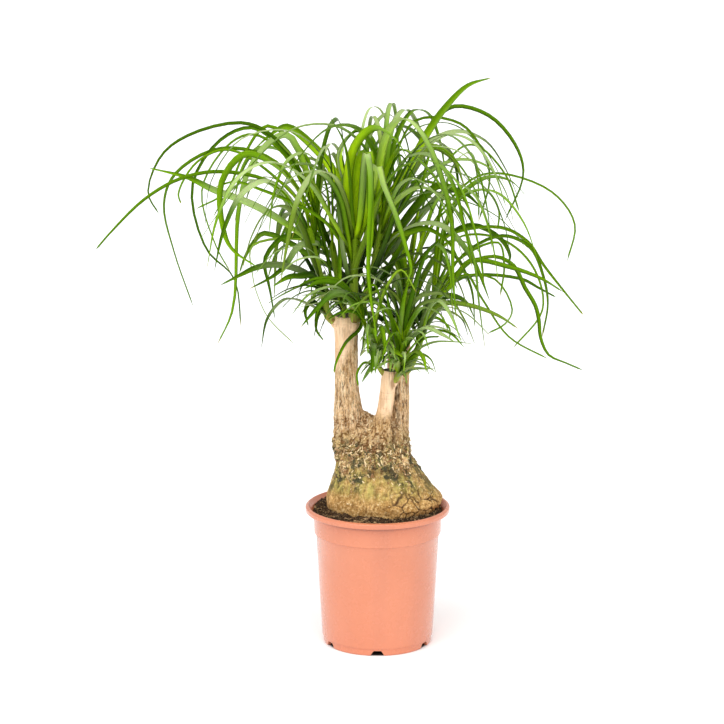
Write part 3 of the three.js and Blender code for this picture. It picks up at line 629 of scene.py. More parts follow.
# Trunk: the levels of its base as z, x, y, width and depth, and its stems as x, y, z and radius, as in the
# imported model
BASE_RINGS = [
    (122, 5, 9, 34, 32), (134, 5, 9, 56, 52), (156, 3, 9, 65, 61), (181, 6, 10, 73.5, 66),
    (193, 8.5, 11, 77, 68), (206, 6, 11, 70, 62), (219, 3, 9, 63.5, 55), (233, 0, 6, 56, 48),
    (247, -3, 4, 50, 42), (262, -4, 2, 47, 36), (278, -5, 1, 43, 29), (291, -6, 1, 36, 21),
    (299, -8, 1, 23, 13), (305.5, -17, 2, 11, 10), (312, -20, 2, 4, 4),
]
TRUNK_STEMS = {
    "left": [
        (-30, 8, 225, 25), (-33, 7, 250, 23), (-36, 6, 272, 21.5), (-37.5, 5, 292, 20), (-38.5, 4, 313, 18.8),
        (-39.8, 4, 328, 17), (-40.5, 4, 343, 15.7), (-40.7, 4, 375, 15.2), (-41, 4, 405, 15.2),
        (-41.5, 4, 424, 15.8), (-42.5, 4, 432, 17), (-42, 4, 440, 15),
    ],
    "front": [
        (2, -12, 225, 24), (2.5, -16, 250, 20), (3, -19, 272, 16.2), (4, -21, 290, 13.2),
        (6.2, -22, 305, 11.3), (9, -22, 318, 10.2), (11.1, -22, 333, 10), (12.7, -22, 346, 9.8),
        (14, -22, 359, 10), (15.6, -22, 373, 9.2),
    ],
    "back": [
        (16, 10, 225, 25), (20, 12, 250, 21.5), (23, 14, 272, 18), (25, 15, 290, 16), (26, 16, 312, 15),
        (26.5, 16, 345, 14.5), (27, 16, 380, 14.3), (27.5, 16, 404, 15.2), (28, 16, 417, 13.4),
    ],
}


def base_rings():
    rings = []
    angle = np.arange(BASE_SIDES) * TAU / BASE_SIDES
    for z, x, y, wide, deep in on_curve(curve_spans(BASE_RINGS), np.linspace(0, 1, RING_STEPS)):
        front = np.maximum(0, np.cos(angle + 1.25)) ** 6
        hollow = np.maximum(0, np.cos(angle + 2.2)) ** 8
        lobes = 1 + 0.05 * front - 0.06 * hollow + 0.018 * np.sin(5 * angle + z * 0.045)
        across = x + np.cos(angle) * wide * lobes
        rings.append(np.stack([across, y + np.sin(angle) * deep * lobes, np.full(BASE_SIDES, z)], 1))
    return rings


def distance_to_stem(points, rows):
    """How far each point is from a stem's middle line, in its radii."""
    rows = np.array(rows, float)
    z = points[:, 2]
    x, y, radius = (np.interp(z, rows[:, 2], rows[:, i]) for i in (0, 1, 3))
    return np.hypot(points[:, 0] - x, points[:, 1] - y) / radius


def round_lump():
    """Points and faces of a ball, for a crumb of soil or the husk round a shoot's root."""
    mesh = bpy.data.meshes.new("lump")
    shape = bmesh.new()
    bmesh.ops.create_icosphere(shape, subdivisions=2, radius=1)
    shape.to_mesh(mesh)
    shape.free()
    points = vertex_numbers(mesh, "co")
    faces = [tuple(face.vertices) for face in mesh.polygons]
    bpy.data.meshes.remove(mesh)
    return points, faces


def trunk_body():
    """The base and its stems, joined in one fine skin and rounded where they meet."""
    stems = [tube_rings(rows, STEM_SIDES, RING_STEPS) for rows in TRUNK_STEMS.values()]
    parts = [capped(part) for part in [base_rings(), *stems]]
    ball, ball_faces = round_lump()
    for shoot in SHOOTS:
        root, following = np.array(shoot["stem"][:2], float)
        along = (following - root) / np.linalg.norm(following - root)
        radius = shoot["radius"][0]
        parts.append((root - along * 0.6 * radius + ball * COLLAR * radius, ball_faces))
    body = cutter("trunk_bark", parts)
    apply_modifier(body, "REMESH", mode="VOXEL", voxel_size=VOXEL * MM)
    apply_modifier(body, "SMOOTH", factor=0.5, iterations=12)
    return body


def above_peel(x, z):
    """How far a place is above the slanted edge where the smooth skin of the left stem starts."""
    return z - 391 - 1.8 * (x + 40)


def build_trunk():
    """The trunk's skin: the masks of its parts, how far each point is pushed out, and what the bark reads."""
    body = trunk_body()
    mesh = body.data
    points = vertex_numbers(mesh, "co") / MM
    normals = vertex_numbers(mesh, "vector", mesh.vertex_normals)
    x, y, z = points.T
    near = {name: distance_to_stem(points, rows) for name, rows in TRUNK_STEMS.items()}

    # The base is low, and each stem has its own mask above it
    above = smooth_step(262, 298, z)
    low = 1 - above
    left = above * (x < -14)
    front = above * (near["front"] < 1.35) * (near["front"] < near["back"] + 0.2) * (x > -14)
    back = above * (x > -14) * (1 - np.clip(front, 0, 1))

    fibres = noise_over(points, (0.33, 0.33, 0.035), 3)
    fine = noise_over(points, (0.75, 0.75, 0.12), 9)
    runs = noise_over(points, (0.2, 0.2, 0.045), 23)
    lumps = noise_over(points, 0.045, 17)
    knobs = noise_over(points, 0.16, 31)
    grit = noise_over(points, 0.42, 47)

    # Cracks: large plates at the lower right, and small ones all over the base
    bent = points + np.stack([noise_over(points, 0.09, shift) for shift in (61, 71, 81)], 1) * 4
    plates = cells_over(bent, (0.06, 0.06, 0.075), 5)
    small = cells_over(bent, (0.16, 0.16, 0.13), 8)
    plated = smooth_step(0, 30, x) * (1 - smooth_step(200, 236, z)) * smooth_step(20, -30, y)
    crack = (1 - smooth_step(0.02, 0.1, plates)) * plated
    small_crack = (1 - smooth_step(0.0, 0.1, small)) * low * 0.45

    # The ledge below the front stem, and the shade under it
    flat = points * (1, 1, 0)
    edge = 243 + 4 * noise_over(flat, 0.12, 2) + 3 * noise_over(flat, 0.5, 6)
    ledge = smooth_step(-6, -16, y) * smooth_step(-30, -12, x) * (1 - smooth_step(38, 52, x))
    shelf = ledge * smooth_step(-1.0, 0.6, z - edge) * (1 - smooth_step(6, 30, z - edge))
    under = ledge * (1 - smooth_step(-1, 0.4, z - edge)) * smooth_step(-14, -2, z - edge)

    cut = np.zeros(len(points))
    for name, rows in TRUNK_STEMS.items():
        end = rows[-1][2]
        top = smooth_step(end - 5, end - 2, z) * smooth_step(0.55, 0.8, normals[:, 2])
        cut = np.maximum(cut, top * (near[name] < 1.4))

    # The wart at the front stem's foot, the rugged belt round the base, and the knobs where the stems part
    wart = front * smooth_step(326, 296, z)
    ragged = z + 26 * lumps + 9 * knobs
    rugged = smooth_step(226, 242, ragged) * smooth_step(306, 288, z)
    parting = smooth_step(254, 268, z) * smooth_step(322, 300, z) * (1 - 0.7 * smooth_step(14, 20, x))
    # Painted shade where the base turns to the sides
    side_shade = smooth_step(0.5, 0.85, np.abs(normals[:, 0]))
    side_shade = side_shade * smooth_step(200, 214, z) * smooth_step(266, 242, z)

    rough = (0.4 + 1.2 * rugged) * (1.5 * knobs + 0.9 * grit)
    push = low * (1.9 * lumps + rough - 1.8 * crack - 0.5 * small_crack)
    push += low * (1 - rugged) * (0.7 * runs + 0.25 * fine)
    push += low * 0.7 * np.abs(fibres) * smooth_step(225, 262, z)
    push += parting * (1.1 * knobs + 0.9 * grit)
    push += left * (0.8 * fibres + 0.55 * fine) * (1 - 0.85 * smooth_step(-9, 9, above_peel(x, z)))
    push += back * (1.3 * fibres + 0.7 * fine)
    push += front * 0.1 * fine + wart * (0.5 * knobs + 0.5 * grit)
    push += 0.8 * shelf - 0.7 * under
    push *= 1 - 0.8 * smooth_step(190, 176, z)
    points += normals * push[:, None]
    mesh.vertices.foreach_set("co", (points * MM).astype(np.float32).ravel())

    peeled = above_peel(x, z) + 5 * lumps + 3 * knobs
    smooth_skin = left * smooth_step(-9, 9, peeled) + front * smooth_step(302, 326, z + 5 * knobs)
    # Painted shade in the crevice between the front and back stems, and in a line on the back stem just
    # beside the front stem
    beside_front = (near["front"] > 1.12) * (x > 12)
    crevice_shade = smooth_step(1.45, 1.2, near["front"]) * beside_front * smooth_step(352, 330, z)
    split_shade = above * (y > -10) * smooth_step(4, 1.5, np.abs(x - 25 - 2.5 * knobs)) * smooth_step(366, 348, z)
    crevice_shade = np.maximum(crevice_shade, split_shade * smooth_step(-0.25, 0.2, fine + fibres))
    belt = smooth_step(224, 240, ragged) * smooth_step(290, 262, z)
    # Painted shade in the low places of the bumpy base, between the fibres of the stems and among the knobs
    # where the stems part
    hollow_shade = low * (0.3 + 0.7 * rugged) * smooth_step(0.05, -0.5, 0.7 * knobs + grit)
    hollow_shade += above * (0.35 + 0.4 * (x > 14)) * smooth_step(0, -0.4, fibres + 0.5 * fine)
    hollow_shade += parting * smooth_step(0, -0.45, 0.8 * knobs + grit)
    set_values(mesh, {
        "stem": np.clip(left + back + 0.5 * wart, 0, 1),
        "smooth": np.clip(smooth_skin, 0, 1),
        "algae": smooth_step(196, 216, z) * smooth_step(300, 240, z) * np.clip(0.9 + 0.9 * lumps, 0, 1),
        # Stains on the belt, with painted shade on the base's sides and under the ledge
        "stain_and_shade": np.clip(belt * (0.8 + 1.2 * knobs) + 0.75 * side_shade + under, 0, 1),
        # Cracks, with painted shade under the ledge and beside the front stem
        "crack": np.clip(1.1 * crack + 0.25 * small_crack + 0.4 * under + above * crevice_shade, 0, 1),
        "cut": np.clip(cut, 0, 1),
        # Painted shade in the hollows
        "hollow": hollow_shade,
        "rugged": rugged * low,
    })
    mesh.shade_smooth()
    dress(body, BARK, ["trunk"])
    return points, normals


def surface_frame(normal, turn):
    """Two directions along a surface, the first turned from straight down by an angle."""
    down = np.array([0, 0, -1.0]) + normal * normal[2]
    down /= max(np.linalg.norm(down), 1e-6)
    side = np.cross(normal, down)
    return (down * math.cos(turn) + side * math.sin(turn), side * math.cos(turn) - down * math.sin(turn))


def build_flakes(points, normals):
    """Thin curled scraps of bark on the swollen base, most of all at the torn edge below the front stem."""
    rng = np.random.default_rng(5)
    z = points[:, 2]
    usable = np.nonzero((z > 196) & (z < 308) & (np.abs(normals[:, 2]) < 0.85))[0]
    parts = []
    tones = []
    for index in rng.permutation(usable):
        place = points[index]
        normal = normals[index]
        torn = math.exp(-((place[2] - 262 + rng.normal(0, 8)) / 24) ** 2)
        if rng.uniform() > 0.1 + 0.9 * torn:
            continue
        if len(parts) >= FLAKES:
            break
        hanging = abs(place[2] - 248) < 10 and place[1] < -25 and rng.uniform() < 0.5
        down, side = surface_frame(normal, rng.normal(0, 0.25 if hanging else 1.1))
        length = rng.uniform(1.6, 5) * (1 + 0.6 * torn) * (1.8 if hanging else 1)
        width = rng.uniform(0.7, 2.7)
        lift = rng.uniform(0.2, 1.3) * (1 + 0.8 * torn)
        rings = []
        for share, narrow in ((0, rng.uniform(0.4, 1)), (0.5, 1), (1, rng.uniform(0.1, 0.7))):
            half = width * narrow
            middle = place + down * length * (share - 0.4) + normal * (lift * share ** 1.6 - 0.45)
            slant = rng.uniform(-0.3, 0.3) * width
            rings.append(np.array([
                middle + side * half * across * 0.5 + normal * depth + down * slant * across
                for across, depth in ((-1, 0.0), (0, 0.25), (1, 0.0), (1, -0.5), (0, -0.3), (-1, -0.5))
            ]))
        parts.append(capped(rings))
        tones.append(rng.uniform(0, 1))
    make_piece("bark_flakes", joined(parts), FLAKE, values={"tone": np.repeat(tones, FLAKE_POINTS)})


# Soil
def soil_height(x, y):
    angle = math.atan2(y, x)
    wave = 0.9 * math.sin(3 * angle) + 0.6 * math.sin(7 * angle + 1)
    radius = math.hypot(x, y)
    spot = Vector((x, y, 0))
    rough = 2.4 * noise.noise(spot * 0.11) + 1.5 * noise.noise(spot * 0.33) + 0.8 * noise.noise(spot * 0.8)
    edge = max(0, (radius - 70) / 14)
    return SOIL_LEVEL + wave + rough - 2.2 * edge * edge + 1.2


def build_soil():
    angle = np.arange(SOIL_SIDES) * TAU / SOIL_SIDES
    rings = []
    for radius, height in SOIL_OUTSIDE:
        level = np.full(SOIL_SIDES, float(height))
        rings.append(np.stack([radius * np.cos(angle), radius * np.sin(angle), level], 1))
    for radius in reversed([0.5, *np.linspace(30, SOIL_RADIUS, 70)]):
        ring = [(radius * math.cos(a), radius * math.sin(a)) for a in angle]
        rings.append(np.array([(x, y, soil_height(x, y)) for x, y in ring]))
    make_piece("soil_peat", capped(rings), PEAT, ["soil"])


def outside_base(x, y, margin):
    _, cx, cy, wide, deep = BASE_RINGS[3]
    return ((x - cx) / (wide + margin)) ** 2 + ((y - cy) / (deep + margin)) ** 2 > 1


def build_crumbs():
    """Lumps of peat on the soil."""
    rng = np.random.default_rng(21)
    shape, faces = round_lump()
    parts = []
    tones = []
    while len(parts) < CRUMBS:
        radius = (SOIL_RADIUS - 1) * math.sqrt(rng.uniform(0.25, 1))
        angle = rng.uniform(0, TAU)
        x, y = radius * math.cos(angle), radius * math.sin(angle)
        if not outside_base(x, y, -3):
            continue
        size = rng.uniform(0.6, 2.3) * rng.uniform(0.6, 1)
        size = min(size, SOIL_RADIUS + 0.5 - radius)
        if size < 0.4:
            continue
        bent = shape * (1 + 0.35 * noise_over(shape, 1.6, len(parts))[:, None])
        bent = bent * (size, size * rng.uniform(0.5, 1), size * rng.uniform(0.4, 0.8))
        bent = turned_about_z(bent, rng.uniform(0, TAU))
        parts.append((bent + (x, y, soil_height(x, y) + 0.2 * size), faces))
        tones.append(rng.uniform())
    make_piece("soil_crumbs", joined(parts), PEAT, values={"tone": np.repeat(tones, len(shape))})


def build_fibres():
    """Loose root fibres on the soil at the front left and round the base."""
    rng = np.random.default_rng(8)
    parts = []
    for i in range(FIBRES):
        angle = rng.uniform(-2.5, -1.7) if i < FRONT_FIBRES else rng.uniform(0, TAU)
        radius = rng.uniform(70, 80)
        x, y = radius * math.cos(angle), radius * math.sin(angle)
        turn = angle + math.pi / 2 + rng.normal(0, 0.5)
        stride = rng.uniform(9, 26) / FIBRE_STEPS
        bend = rng.normal(0, 0.04)
        rows = []
        for step in range(FIBRE_STEPS + 1):
            if math.hypot(x, y) > SOIL_RADIUS - 2:
                turn += 0.5
                x, y = x * 0.985, y * 0.985
            height = soil_height(x, y) + rng.uniform(0.5, 1.5)
            rows.append((x, y, height, FIBRE_RADIUS * (1 - 0.1 * step)))
            x += math.cos(turn) * stride
            y += math.sin(turn) * stride
            turn += bend * stride + rng.normal(0, 0.15)
        parts.append(capped(tube_rings(rows, 5, 14)))
    make_piece("root_fibres", joined(parts), ROOT_FIBRE)


# Shoots: stem points, end radii and the rule for the leaves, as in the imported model. more is how many times
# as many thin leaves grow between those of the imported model, bare is the age below which none of them does,
# and fresh is how young the oldest leaves look.
def rule(name, **its_own):
    """A shoot's rule, with what most of the shoots share where it says nothing else."""
    shared = {"width": (5, 12), "droop": (0.8, 1.5), "more": 2, "limits": {}, "bare": 0, "fresh": 0}
    return {"name": name, **shared, **its_own}


SHOOTS = [
    rule(
        "shoot_left_outer", seed=11, leaves=27, lowest=0.12, lean=math.pi, bare=0.4,
        stem=[(-56, -1, 432), (-65, -1, 441), (-70, -1, 470), (-80, -1, 515), (-88, -1, 552)],
        radius=(6, 4), length=(150, 500), rise=(0.35, 1.3),
    ),
    rule(
        "shoot_left_tall", seed=23, leaves=26, lowest=0.2, lean=-1.2, bare=0.45,
        stem=[(-33, -4, 431), (-31, -4, 450), (-31, -4, 495), (-30, -4, 545)],
        radius=(6.6, 5), length=(170, 500), rise=(0.5, 1.4),
    ),
    rule(
        "shoot_left_inner", seed=37, leaves=26, lowest=0.2, lean=0, bare=0.45,
        stem=[(-29, 9, 430), (-22, 10, 446), (-8, 12, 490), (2, 12, 540), (9, 11, 580)],
        radius=(5.6, 4), length=(160, 480), rise=(0.5, 1.35),
    ),
    rule(
        "shoot_left_small", seed=41, leaves=9, lowest=0.4, lean=3.6, more=1.5,
        stem=[(-43, -8.5, 433), (-45, -10, 448), (-51, -12, 464)],
        radius=(2.2, 1.8), length=(60, 150), rise=(0.6, 1.2), width=(4, 7), droop=(0.4, 1.5),
    ),
    rule(
        "shoot_left_back", seed=53, leaves=26, lowest=0.15, lean=1.9,
        stem=[(-43, 12, 432), (-45, 21, 447), (-52, 29, 482), (-59, 34, 526)],
        radius=(5, 3.8), length=(150, 460), rise=(0.35, 1.3),
    ),
    rule(
        "shoot_front_left", seed=61, leaves=22, lowest=0.2, lean=-2.2, fresh=0.5,
        stem=[(9, -23, 366), (2, -26, 377), (-5, -29, 400), (-13, -31, 425), (-20, -32, 446)],
        radius=(3.6, 2.6), length=(60, 150), rise=(0.8, 1.4), width=(6, 11), droop=(0.1, 1.3),
        limits={"lowest": 372, "front": -95, "left": -24},
    ),
    rule(
        "shoot_front_right", seed=71, leaves=26, lowest=0.15, lean=-1.2, more=1.5, fresh=0.5,
        stem=[(22, -26, 358), (27, -30, 370), (32, -33, 396), (35, -34, 431)],
        radius=(3.8, 2.8), length=(60, 170), rise=(0.7, 1.4), width=(6, 11), droop=(0.1, 1.3),
        limits={"lowest": 368, "front": -95, "left": -24},
    ),
    rule(
        "shoot_right_leaning", seed=83, leaves=30, lowest=0.15, lean=-0.3, more=1.4, fresh=0.25,
        stem=[(33, 8, 360), (42, 1, 371), (53, -4, 400), (61, -6, 430), (72, -8, 462)],
        radius=(5, 3.4), length=(70, 360), rise=(0.4, 1.3), width=(5, 11), droop=(0.4, 1.4),
        limits={"lowest": 385, "front": -60},
    ),
    rule(
        "shoot_back_top", seed=97, leaves=30, lowest=0.15, lean=0.6,
        stem=[(27, 17, 405), (29, 19, 424), (36, 22, 460), (44, 25, 500)],
        radius=(6, 4), length=(150, 420), rise=(0.35, 1.3),
    ),
    rule(
        "shoot_back_low", seed=103, leaves=24, lowest=0.2, lean=1.1,
        stem=[(29, 25, 378), (34, 36, 392), (40, 45, 422), (46, 52, 455)],
        radius=(4.5, 3), length=(80, 300), rise=(0.4, 1.3), limits={"lowest": 390},
    ),
]

# Blades read from the picture: width, depth of the tip behind (+) or before (-) the stem, turn of the broad
# face in degrees, then the places (x, z) that the blade is seen to pass, from root to tip
SEEN_BLADES = {
    "shoot_left_outer": [
        (5, 20, 65, [(-60, 480), (-100, 630), (-140, 678), (-175, 691),
         (-240, 676), (-277, 649), (-295, 600), (-281, 572)]),
        (10, -30, 70, [(-112, 556), (-158, 584), (-212, 605), (-243, 620), (-295, 633)]),
        (5, -60, 75, [(-130, 610), (-200, 628), (-253, 619), (-300, 592), (-345, 548), (-364, 526)]),
        (9.5, 40, 70, [(-85, 600), (-115, 675), (-141, 664), (-168, 624),
         (-180, 570), (-188, 448), (-209, 400)]),
        (9.5, -70, 70, [(-100, 600), (-140, 642), (-172, 650), (-201, 613),
         (-198, 549), (-187, 526), (-155, 503)]),
        (5, 70, 65, [(-82, 590), (-90, 644), (-141, 687), (-173, 647), (-196, 601), (-235, 579)]),
        (9.5, -40, 65, [(-75, 480), (-99, 499), (-133, 507), (-157, 503), (-178, 493), (-205, 479)]),
        (9.5, -20, 60, [(-75, 533), (-90, 536), (-105, 528), (-118, 508), (-135, 492), (-168, 474)]),
        (7.5, 30, 65, [(-77, 543), (-105, 545), (-125, 541), (-146, 513), (-140, 476), (-133, 433)]),
        (9.5, -90, 50, [(-79, 493), (-99, 492), (-117, 490), (-136, 478)]),
        (7, -60, 65, [(-76, 448), (-80, 431), (-79, 419), (-70, 406)]),
        (8, -30, 75, [(-79, 456), (-87, 458), (-94, 446), (-90, 425)]),
    ],
    "shoot_left_back": [
        (5, 60, 70, [(-110, 640), (-157, 684), (-200, 670), (-238, 610),
         (-221, 527), (-186, 489), (-177, 420)]),
        (3.5, 90, 65, [(-120, 650), (-159, 676), (-194, 660), (-226, 603), (-209, 532), (-190, 496)]),
        (5, 120, 65, [(-130, 640), (-200, 658), (-259, 626), (-275, 585), (-263, 524), (-238, 448)]),
        (3.5, 40, 65, [(-120, 610), (-189, 656), (-231, 641), (-256, 600), (-253, 586)]),
        (7.5, 80, 65, [(-90, 520), (-109, 533), (-146, 548), (-161, 535), (-173, 513), (-179, 495)]),
        (3.5, 140, 65, [(-100, 540), (-161, 532), (-162, 493), (-155, 464), (-141, 435), (-108, 401)]),
    ],
    "shoot_left_tall": [
        (13, -60, 8, [(-30, 560), (-28, 610), (-22, 648), (-12, 655),
         (-10, 600), (-9, 550), (-13, 500), (-8, 440)]),
        (13, -150, 20, [(-18, 560), (-8, 610), (0, 637), (8, 610),
         (22, 575), (36, 530), (43, 500), (36, 481)]),
        (14, -20, 5, [(-36, 560), (-34, 600), (-28, 640), (-22, 655)]),
        (13, 10, 5, [(-42, 560), (-44, 600), (-38, 630), (-30, 645)]),
        (9.5, 40, 75, [(-38, 590), (-52, 645), (-42, 668), (-25, 682), (-8, 675)]),
        (7.5, 60, 75, [(-38, 600), (-38, 650), (-24, 668), (-9, 680), (5, 687)]),
        (12, 30, 5, [(-22, 560), (-12, 600), (-4, 640), (-2, 655)]),
        (13, -15, 0, [(-40, 500), (-48, 550), (-52, 600), (-57, 642)]),
        (12, -25, 10, [(-28, 505), (-12, 552), (0, 592), (5, 614)]),
        (5, -40, 55, [(-45, 532), (-70, 565), (-112, 589), (-151, 605), (-183, 615), (-209, 608)]),
        (5, -20, 45, [(-48, 539), (-70, 590), (-93, 629), (-130, 669)]),
        (12, 20, 60, [(-43, 589), (-58, 629), (-80, 658), (-117, 686), (-138, 675), (-163, 652)]),
        (9.5, -110, 8, [(-24, 560), (-17, 640), (-14, 652), (-9, 620), (-12, 500), (0, 400)]),
        (12, 40, 35, [(-38, 590), (-50, 650), (-29, 681), (-8, 670), (10, 620)]),
        (12, -60, 45, [(-39, 600), (-30, 660), (-3, 685), (25, 668), (40, 640)]),
        (9.5, 0, 35, [(-33, 570), (-36, 620), (-44, 668), (-62, 700)]),
    ],
    "shoot_left_inner": [
        (12, -140, 15, [(0, 590), (9, 670), (32, 698), (60, 672), (93, 577), (97, 490), (102, 432)]),
        (12, -110, 15, [(2, 590), (10, 626), (30, 658), (66, 630), (86, 596), (90, 560)]),
        (12.5, 10, 65, [(10, 590), (40, 635), (63, 678), (85, 710), (114, 739), (145, 749)]),
        (6, 40, 75, [(30, 600), (70, 690), (96, 712), (142, 700), (177, 660), (186, 623), (162, 562)]),
        (4, 80, 65, [(20, 640), (48, 694), (105, 690), (136, 650), (143, 617), (129, 562)]),
        (3.5, -80, 55, [(8, 600), (27, 650), (41, 632), (53, 611), (75, 568)]),
        (12, -50, 55, [(20, 545), (35, 548), (63, 554), (92, 535), (110, 500)]),
        (11.5, -25, 30, [(-8, 490), (10, 536), (23, 578), (33, 600)]),
        (12, -20, 40, [(2, 482), (24, 520), (45, 556), (60, 578)]),
        (12, 10, 70, [(-6, 520), (25, 590), (48, 634), (68, 660), (95, 646), (112, 606)]),
        (12, -10, 75, [(2, 510), (32, 560), (58, 594), (78, 610), (104, 602), (120, 572)]),
        (11, 30, 75, [(-4, 500), (30, 540), (62, 580), (90, 604), (112, 600), (134, 580)]),
        (11, 50, 70, [(0, 540), (18, 590), (36, 626), (58, 650), (84, 640)]),
        (5, -50, 65, [(-22, 425), (-36, 410), (-44, 400), (-55, 375), (-57, 363)]),
    ],
    "shoot_back_top": [
        (3.5, 30, 65, [(60, 590), (103, 657), (128, 661), (164, 623), (182, 575)]),
        (3.5, 60, 65, [(70, 560), (120, 618), (157, 626), (223, 602), (253, 560), (244, 511)]),
        (3.5, -20, 65, [(55, 600), (72, 659), (97, 645), (127, 598), (130, 571)]),
        (3.5, 90, 65, [(80, 570), (134, 605), (155, 579), (154, 552)]),
        (7.5, 20, 65, [(70, 530), (119, 559), (158, 541), (170, 520), (169, 508)]),
        (5, 40, 65, [(90, 545), (157, 556), (192, 538), (215, 505), (249, 462), (267, 440)]),
        (3.5, 70, 65, [(110, 545), (164, 538), (202, 501), (213, 447), (175, 396)]),
    ],
    "shoot_right_leaning": [
        (6, -30, 75, [(110, 505), (150, 518), (175, 506), (190, 477), (204, 453),
         (209, 432), (211, 412), (222, 388), (245, 377), (268, 367)]),
        (5, 10, 75, [(110, 520), (160, 545), (196, 530), (213, 494), (220, 456), (213, 410)]),
        (7.5, -60, 70, [(95, 480), (119, 512), (170, 504), (211, 489), (240, 471)]),
        (7.5, -20, 75, [(70, 445), (85, 456), (117, 454), (156, 440), (183, 422)]),
        (3.5, 20, 65, [(92, 490), (112, 497), (135, 462), (170, 412), (222, 382)]),
        (3.5, -80, 55, [(100, 490), (151, 488), (174, 448), (165, 429), (142, 416)]),
        (3.5, -40, 65, [(100, 510), (155, 536), (163, 507), (158, 464)]),
        (5, 40, 65, [(110, 490), (183, 489), (209, 476), (231, 464)]),
        (5, -40, 65, [(66, 432), (76, 437), (93, 423), (93, 408)]),
        (10, -14, 30, [(54, 420), (68, 455), (82, 490), (93, 516)]),
        (9, 5, 40, [(58, 430), (80, 462), (101, 492), (123, 512)]),
        (3.5, -30, 65, [(47, 392), (62, 410), (81, 412)]),
    ],
    "shoot_front_left": [
        (3.5, -30, 55, [(-4, 374), (-18, 377), (-27, 362), (-25, 345)]),
        (5, -30, 45, [(-5, 410), (8, 470), (30, 500), (50, 470)]),
    ],
    "shoot_front_right": [
        (5, -50, 45, [(20, 400), (5, 450), (-5, 480), (-20, 470)]),
        (7.5, -20, 35, [(38, 440), (48, 480), (62, 520), (80, 540)]),
        (11, -12, 8, [(28, 402), (30, 430), (34, 462), (41, 490)]),
        (10, -5, 20, [(32, 400), (44, 432), (56, 464), (67, 492)]),
        (10, -15, 12, [(26, 395), (20, 425), (14, 455), (9, 482)]),
    ],
}


class Random:
    """A small seeded source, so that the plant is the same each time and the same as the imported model."""

    def __init__(self, seed):
        self.state = seed & 0xFFFFFFFF

    def __call__(self):
        self.state = (self.state + 0x6D2B79F5) & 0xFFFFFFFF
        t = self.state
        t = ((t ^ (t >> 15)) * (1 | t)) & 0xFFFFFFFF
        t ^= (t + (((t ^ (t >> 7)) * (61 | t)) & 0xFFFFFFFF)) & 0xFFFFFFFF
        return (t ^ (t >> 14)) / 4294967296


def on_sight_line(place, y):
    """Where a place seen on the plane y = 0 lies on the same sight line at the depth y."""
    reach = (y - EYE[1]) / -EYE[1]
    return np.array([place[0] * reach, y, EYE[2] + (place[1] - EYE[2]) * reach])


def on_stem(shoot, share):
    points = np.array(shoot["stem"], float)
    place = min(share, 1) * (len(points) - 1)
    low = min(math.floor(place), len(points) - 2)
    return points[low] + (points[low + 1] - points[low]) * (place - low)


def on_stem_at(shoot, z):
    """The place on a stem at a height, kept between the trunk and the stem's end."""
    share = 0.3
    while share < 0.96 and on_stem(shoot, share)[2] < z:
        share += 0.02
    return on_stem(shoot, share)


def seen_blade(shoot, seen, shift):
    width, tip_depth, turn, places = seen
    root = on_stem_at(shoot, places[0][1] - ROOT_DROP)
    points = [root]
    for i, place in enumerate(places):
        bow = math.sin((i + 1) / len(places) * math.pi / 2) ** 1.5
        points.append(on_sight_line(place, root[1] + (tip_depth + shift) * bow))
    look = {"turn": math.radians(turn), "twist": SEEN_TWIST, "thin": SEEN_THIN_HALF, "slim": width < SLIM}
    return {"points": np.array(points), "width": width, **look}


def arched_blade(shoot, index, attempt):
    """A blade that rises from its stem, arches over and hangs, drawn anew for each attempt."""
    random = Random(shoot["seed"] * 100003 + index * 1009 + attempt)
    age = (index % EXTRA % shoot["leaves"] + 0.5) / shoot["leaves"]
    heading = shoot["lean"] + index * GOLDEN_ANGLE + (random() - 0.5) * (0.6 + attempt * 0.06)
    outward = np.array([math.cos(heading), math.sin(heading), 0])
    root = on_stem(shoot, mix(shoot["lowest"], 1, age)) + outward * 0.4 * mix(*shoot["radius"], age)
    rise = mix(*shoot["rise"], age) + (random() - 0.5) * 0.5
    length = mix(*shoot["length"], age ** 0.8) * (0.7 + 0.5 * random())
    fall = mix(*shoot["droop"], random())
    sway = (random() - 0.5) * 1.1
    bend = random()
    steps = 6 if length > 260 else 4
    points = [root]
    for i in range(steps):
        share = (i + 0.5) / steps
        tilt = rise - (rise + fall) * smooth_step(0.3 * bend - 0.1, 0.7 + 0.3 * bend, share)
        yaw = heading + sway * share * share
        step = np.array([math.cos(tilt) * math.cos(yaw), math.cos(tilt) * math.sin(yaw), math.sin(tilt)])
        points.append(points[i] + step * (length / steps))
    width = mix(*shoot["width"], random())
    look = {"turn": (random() - 0.5) * 1.6, "twist": TWIST, "thin": THIN_HALF, "slim": False, "age": age}
    return {"points": np.array(points), "width": width, **look}


def inside_crown(blade, lowest=425, front=-40, left=-225):
    """Whether a blade keeps inside the crown, which is narrower below its middle, and off the bare trunk."""
    for x, y, z in blade["points"][1:]:
        over_trunk = NEAR_TRUNK["left"] < x < NEAR_TRUNK["right"]
        low = z < CROWN["middle"]
        floor = CROWN["lowest"] + LOWEST_PER_DEPTH * abs(y)
        if over_trunk and abs(y) < NEAR_TRUNK["side"]:
            floor = lowest
        reach = LOW_REACH if low else 1
        across = CROWN["left"] * reach < x < CROWN["right"] * reach
        deep = CROWN["front"] * reach < y < CROWN["back"] * reach
        in_front = z < CLEAR_FRONT and over_trunk and y < front
        over_stem = z < BARE_STEM and x < left
        if not (floor < z < CROWN["highest"] and across and deep) or in_front or over_stem:
            return False
    return True


def rolled(side, under, turn):
    """Sides and undersides of a blade, turned about its length."""
    return side * np.cos(turn) + under * np.sin(turn), under * np.cos(turn) - side * np.sin(turn)


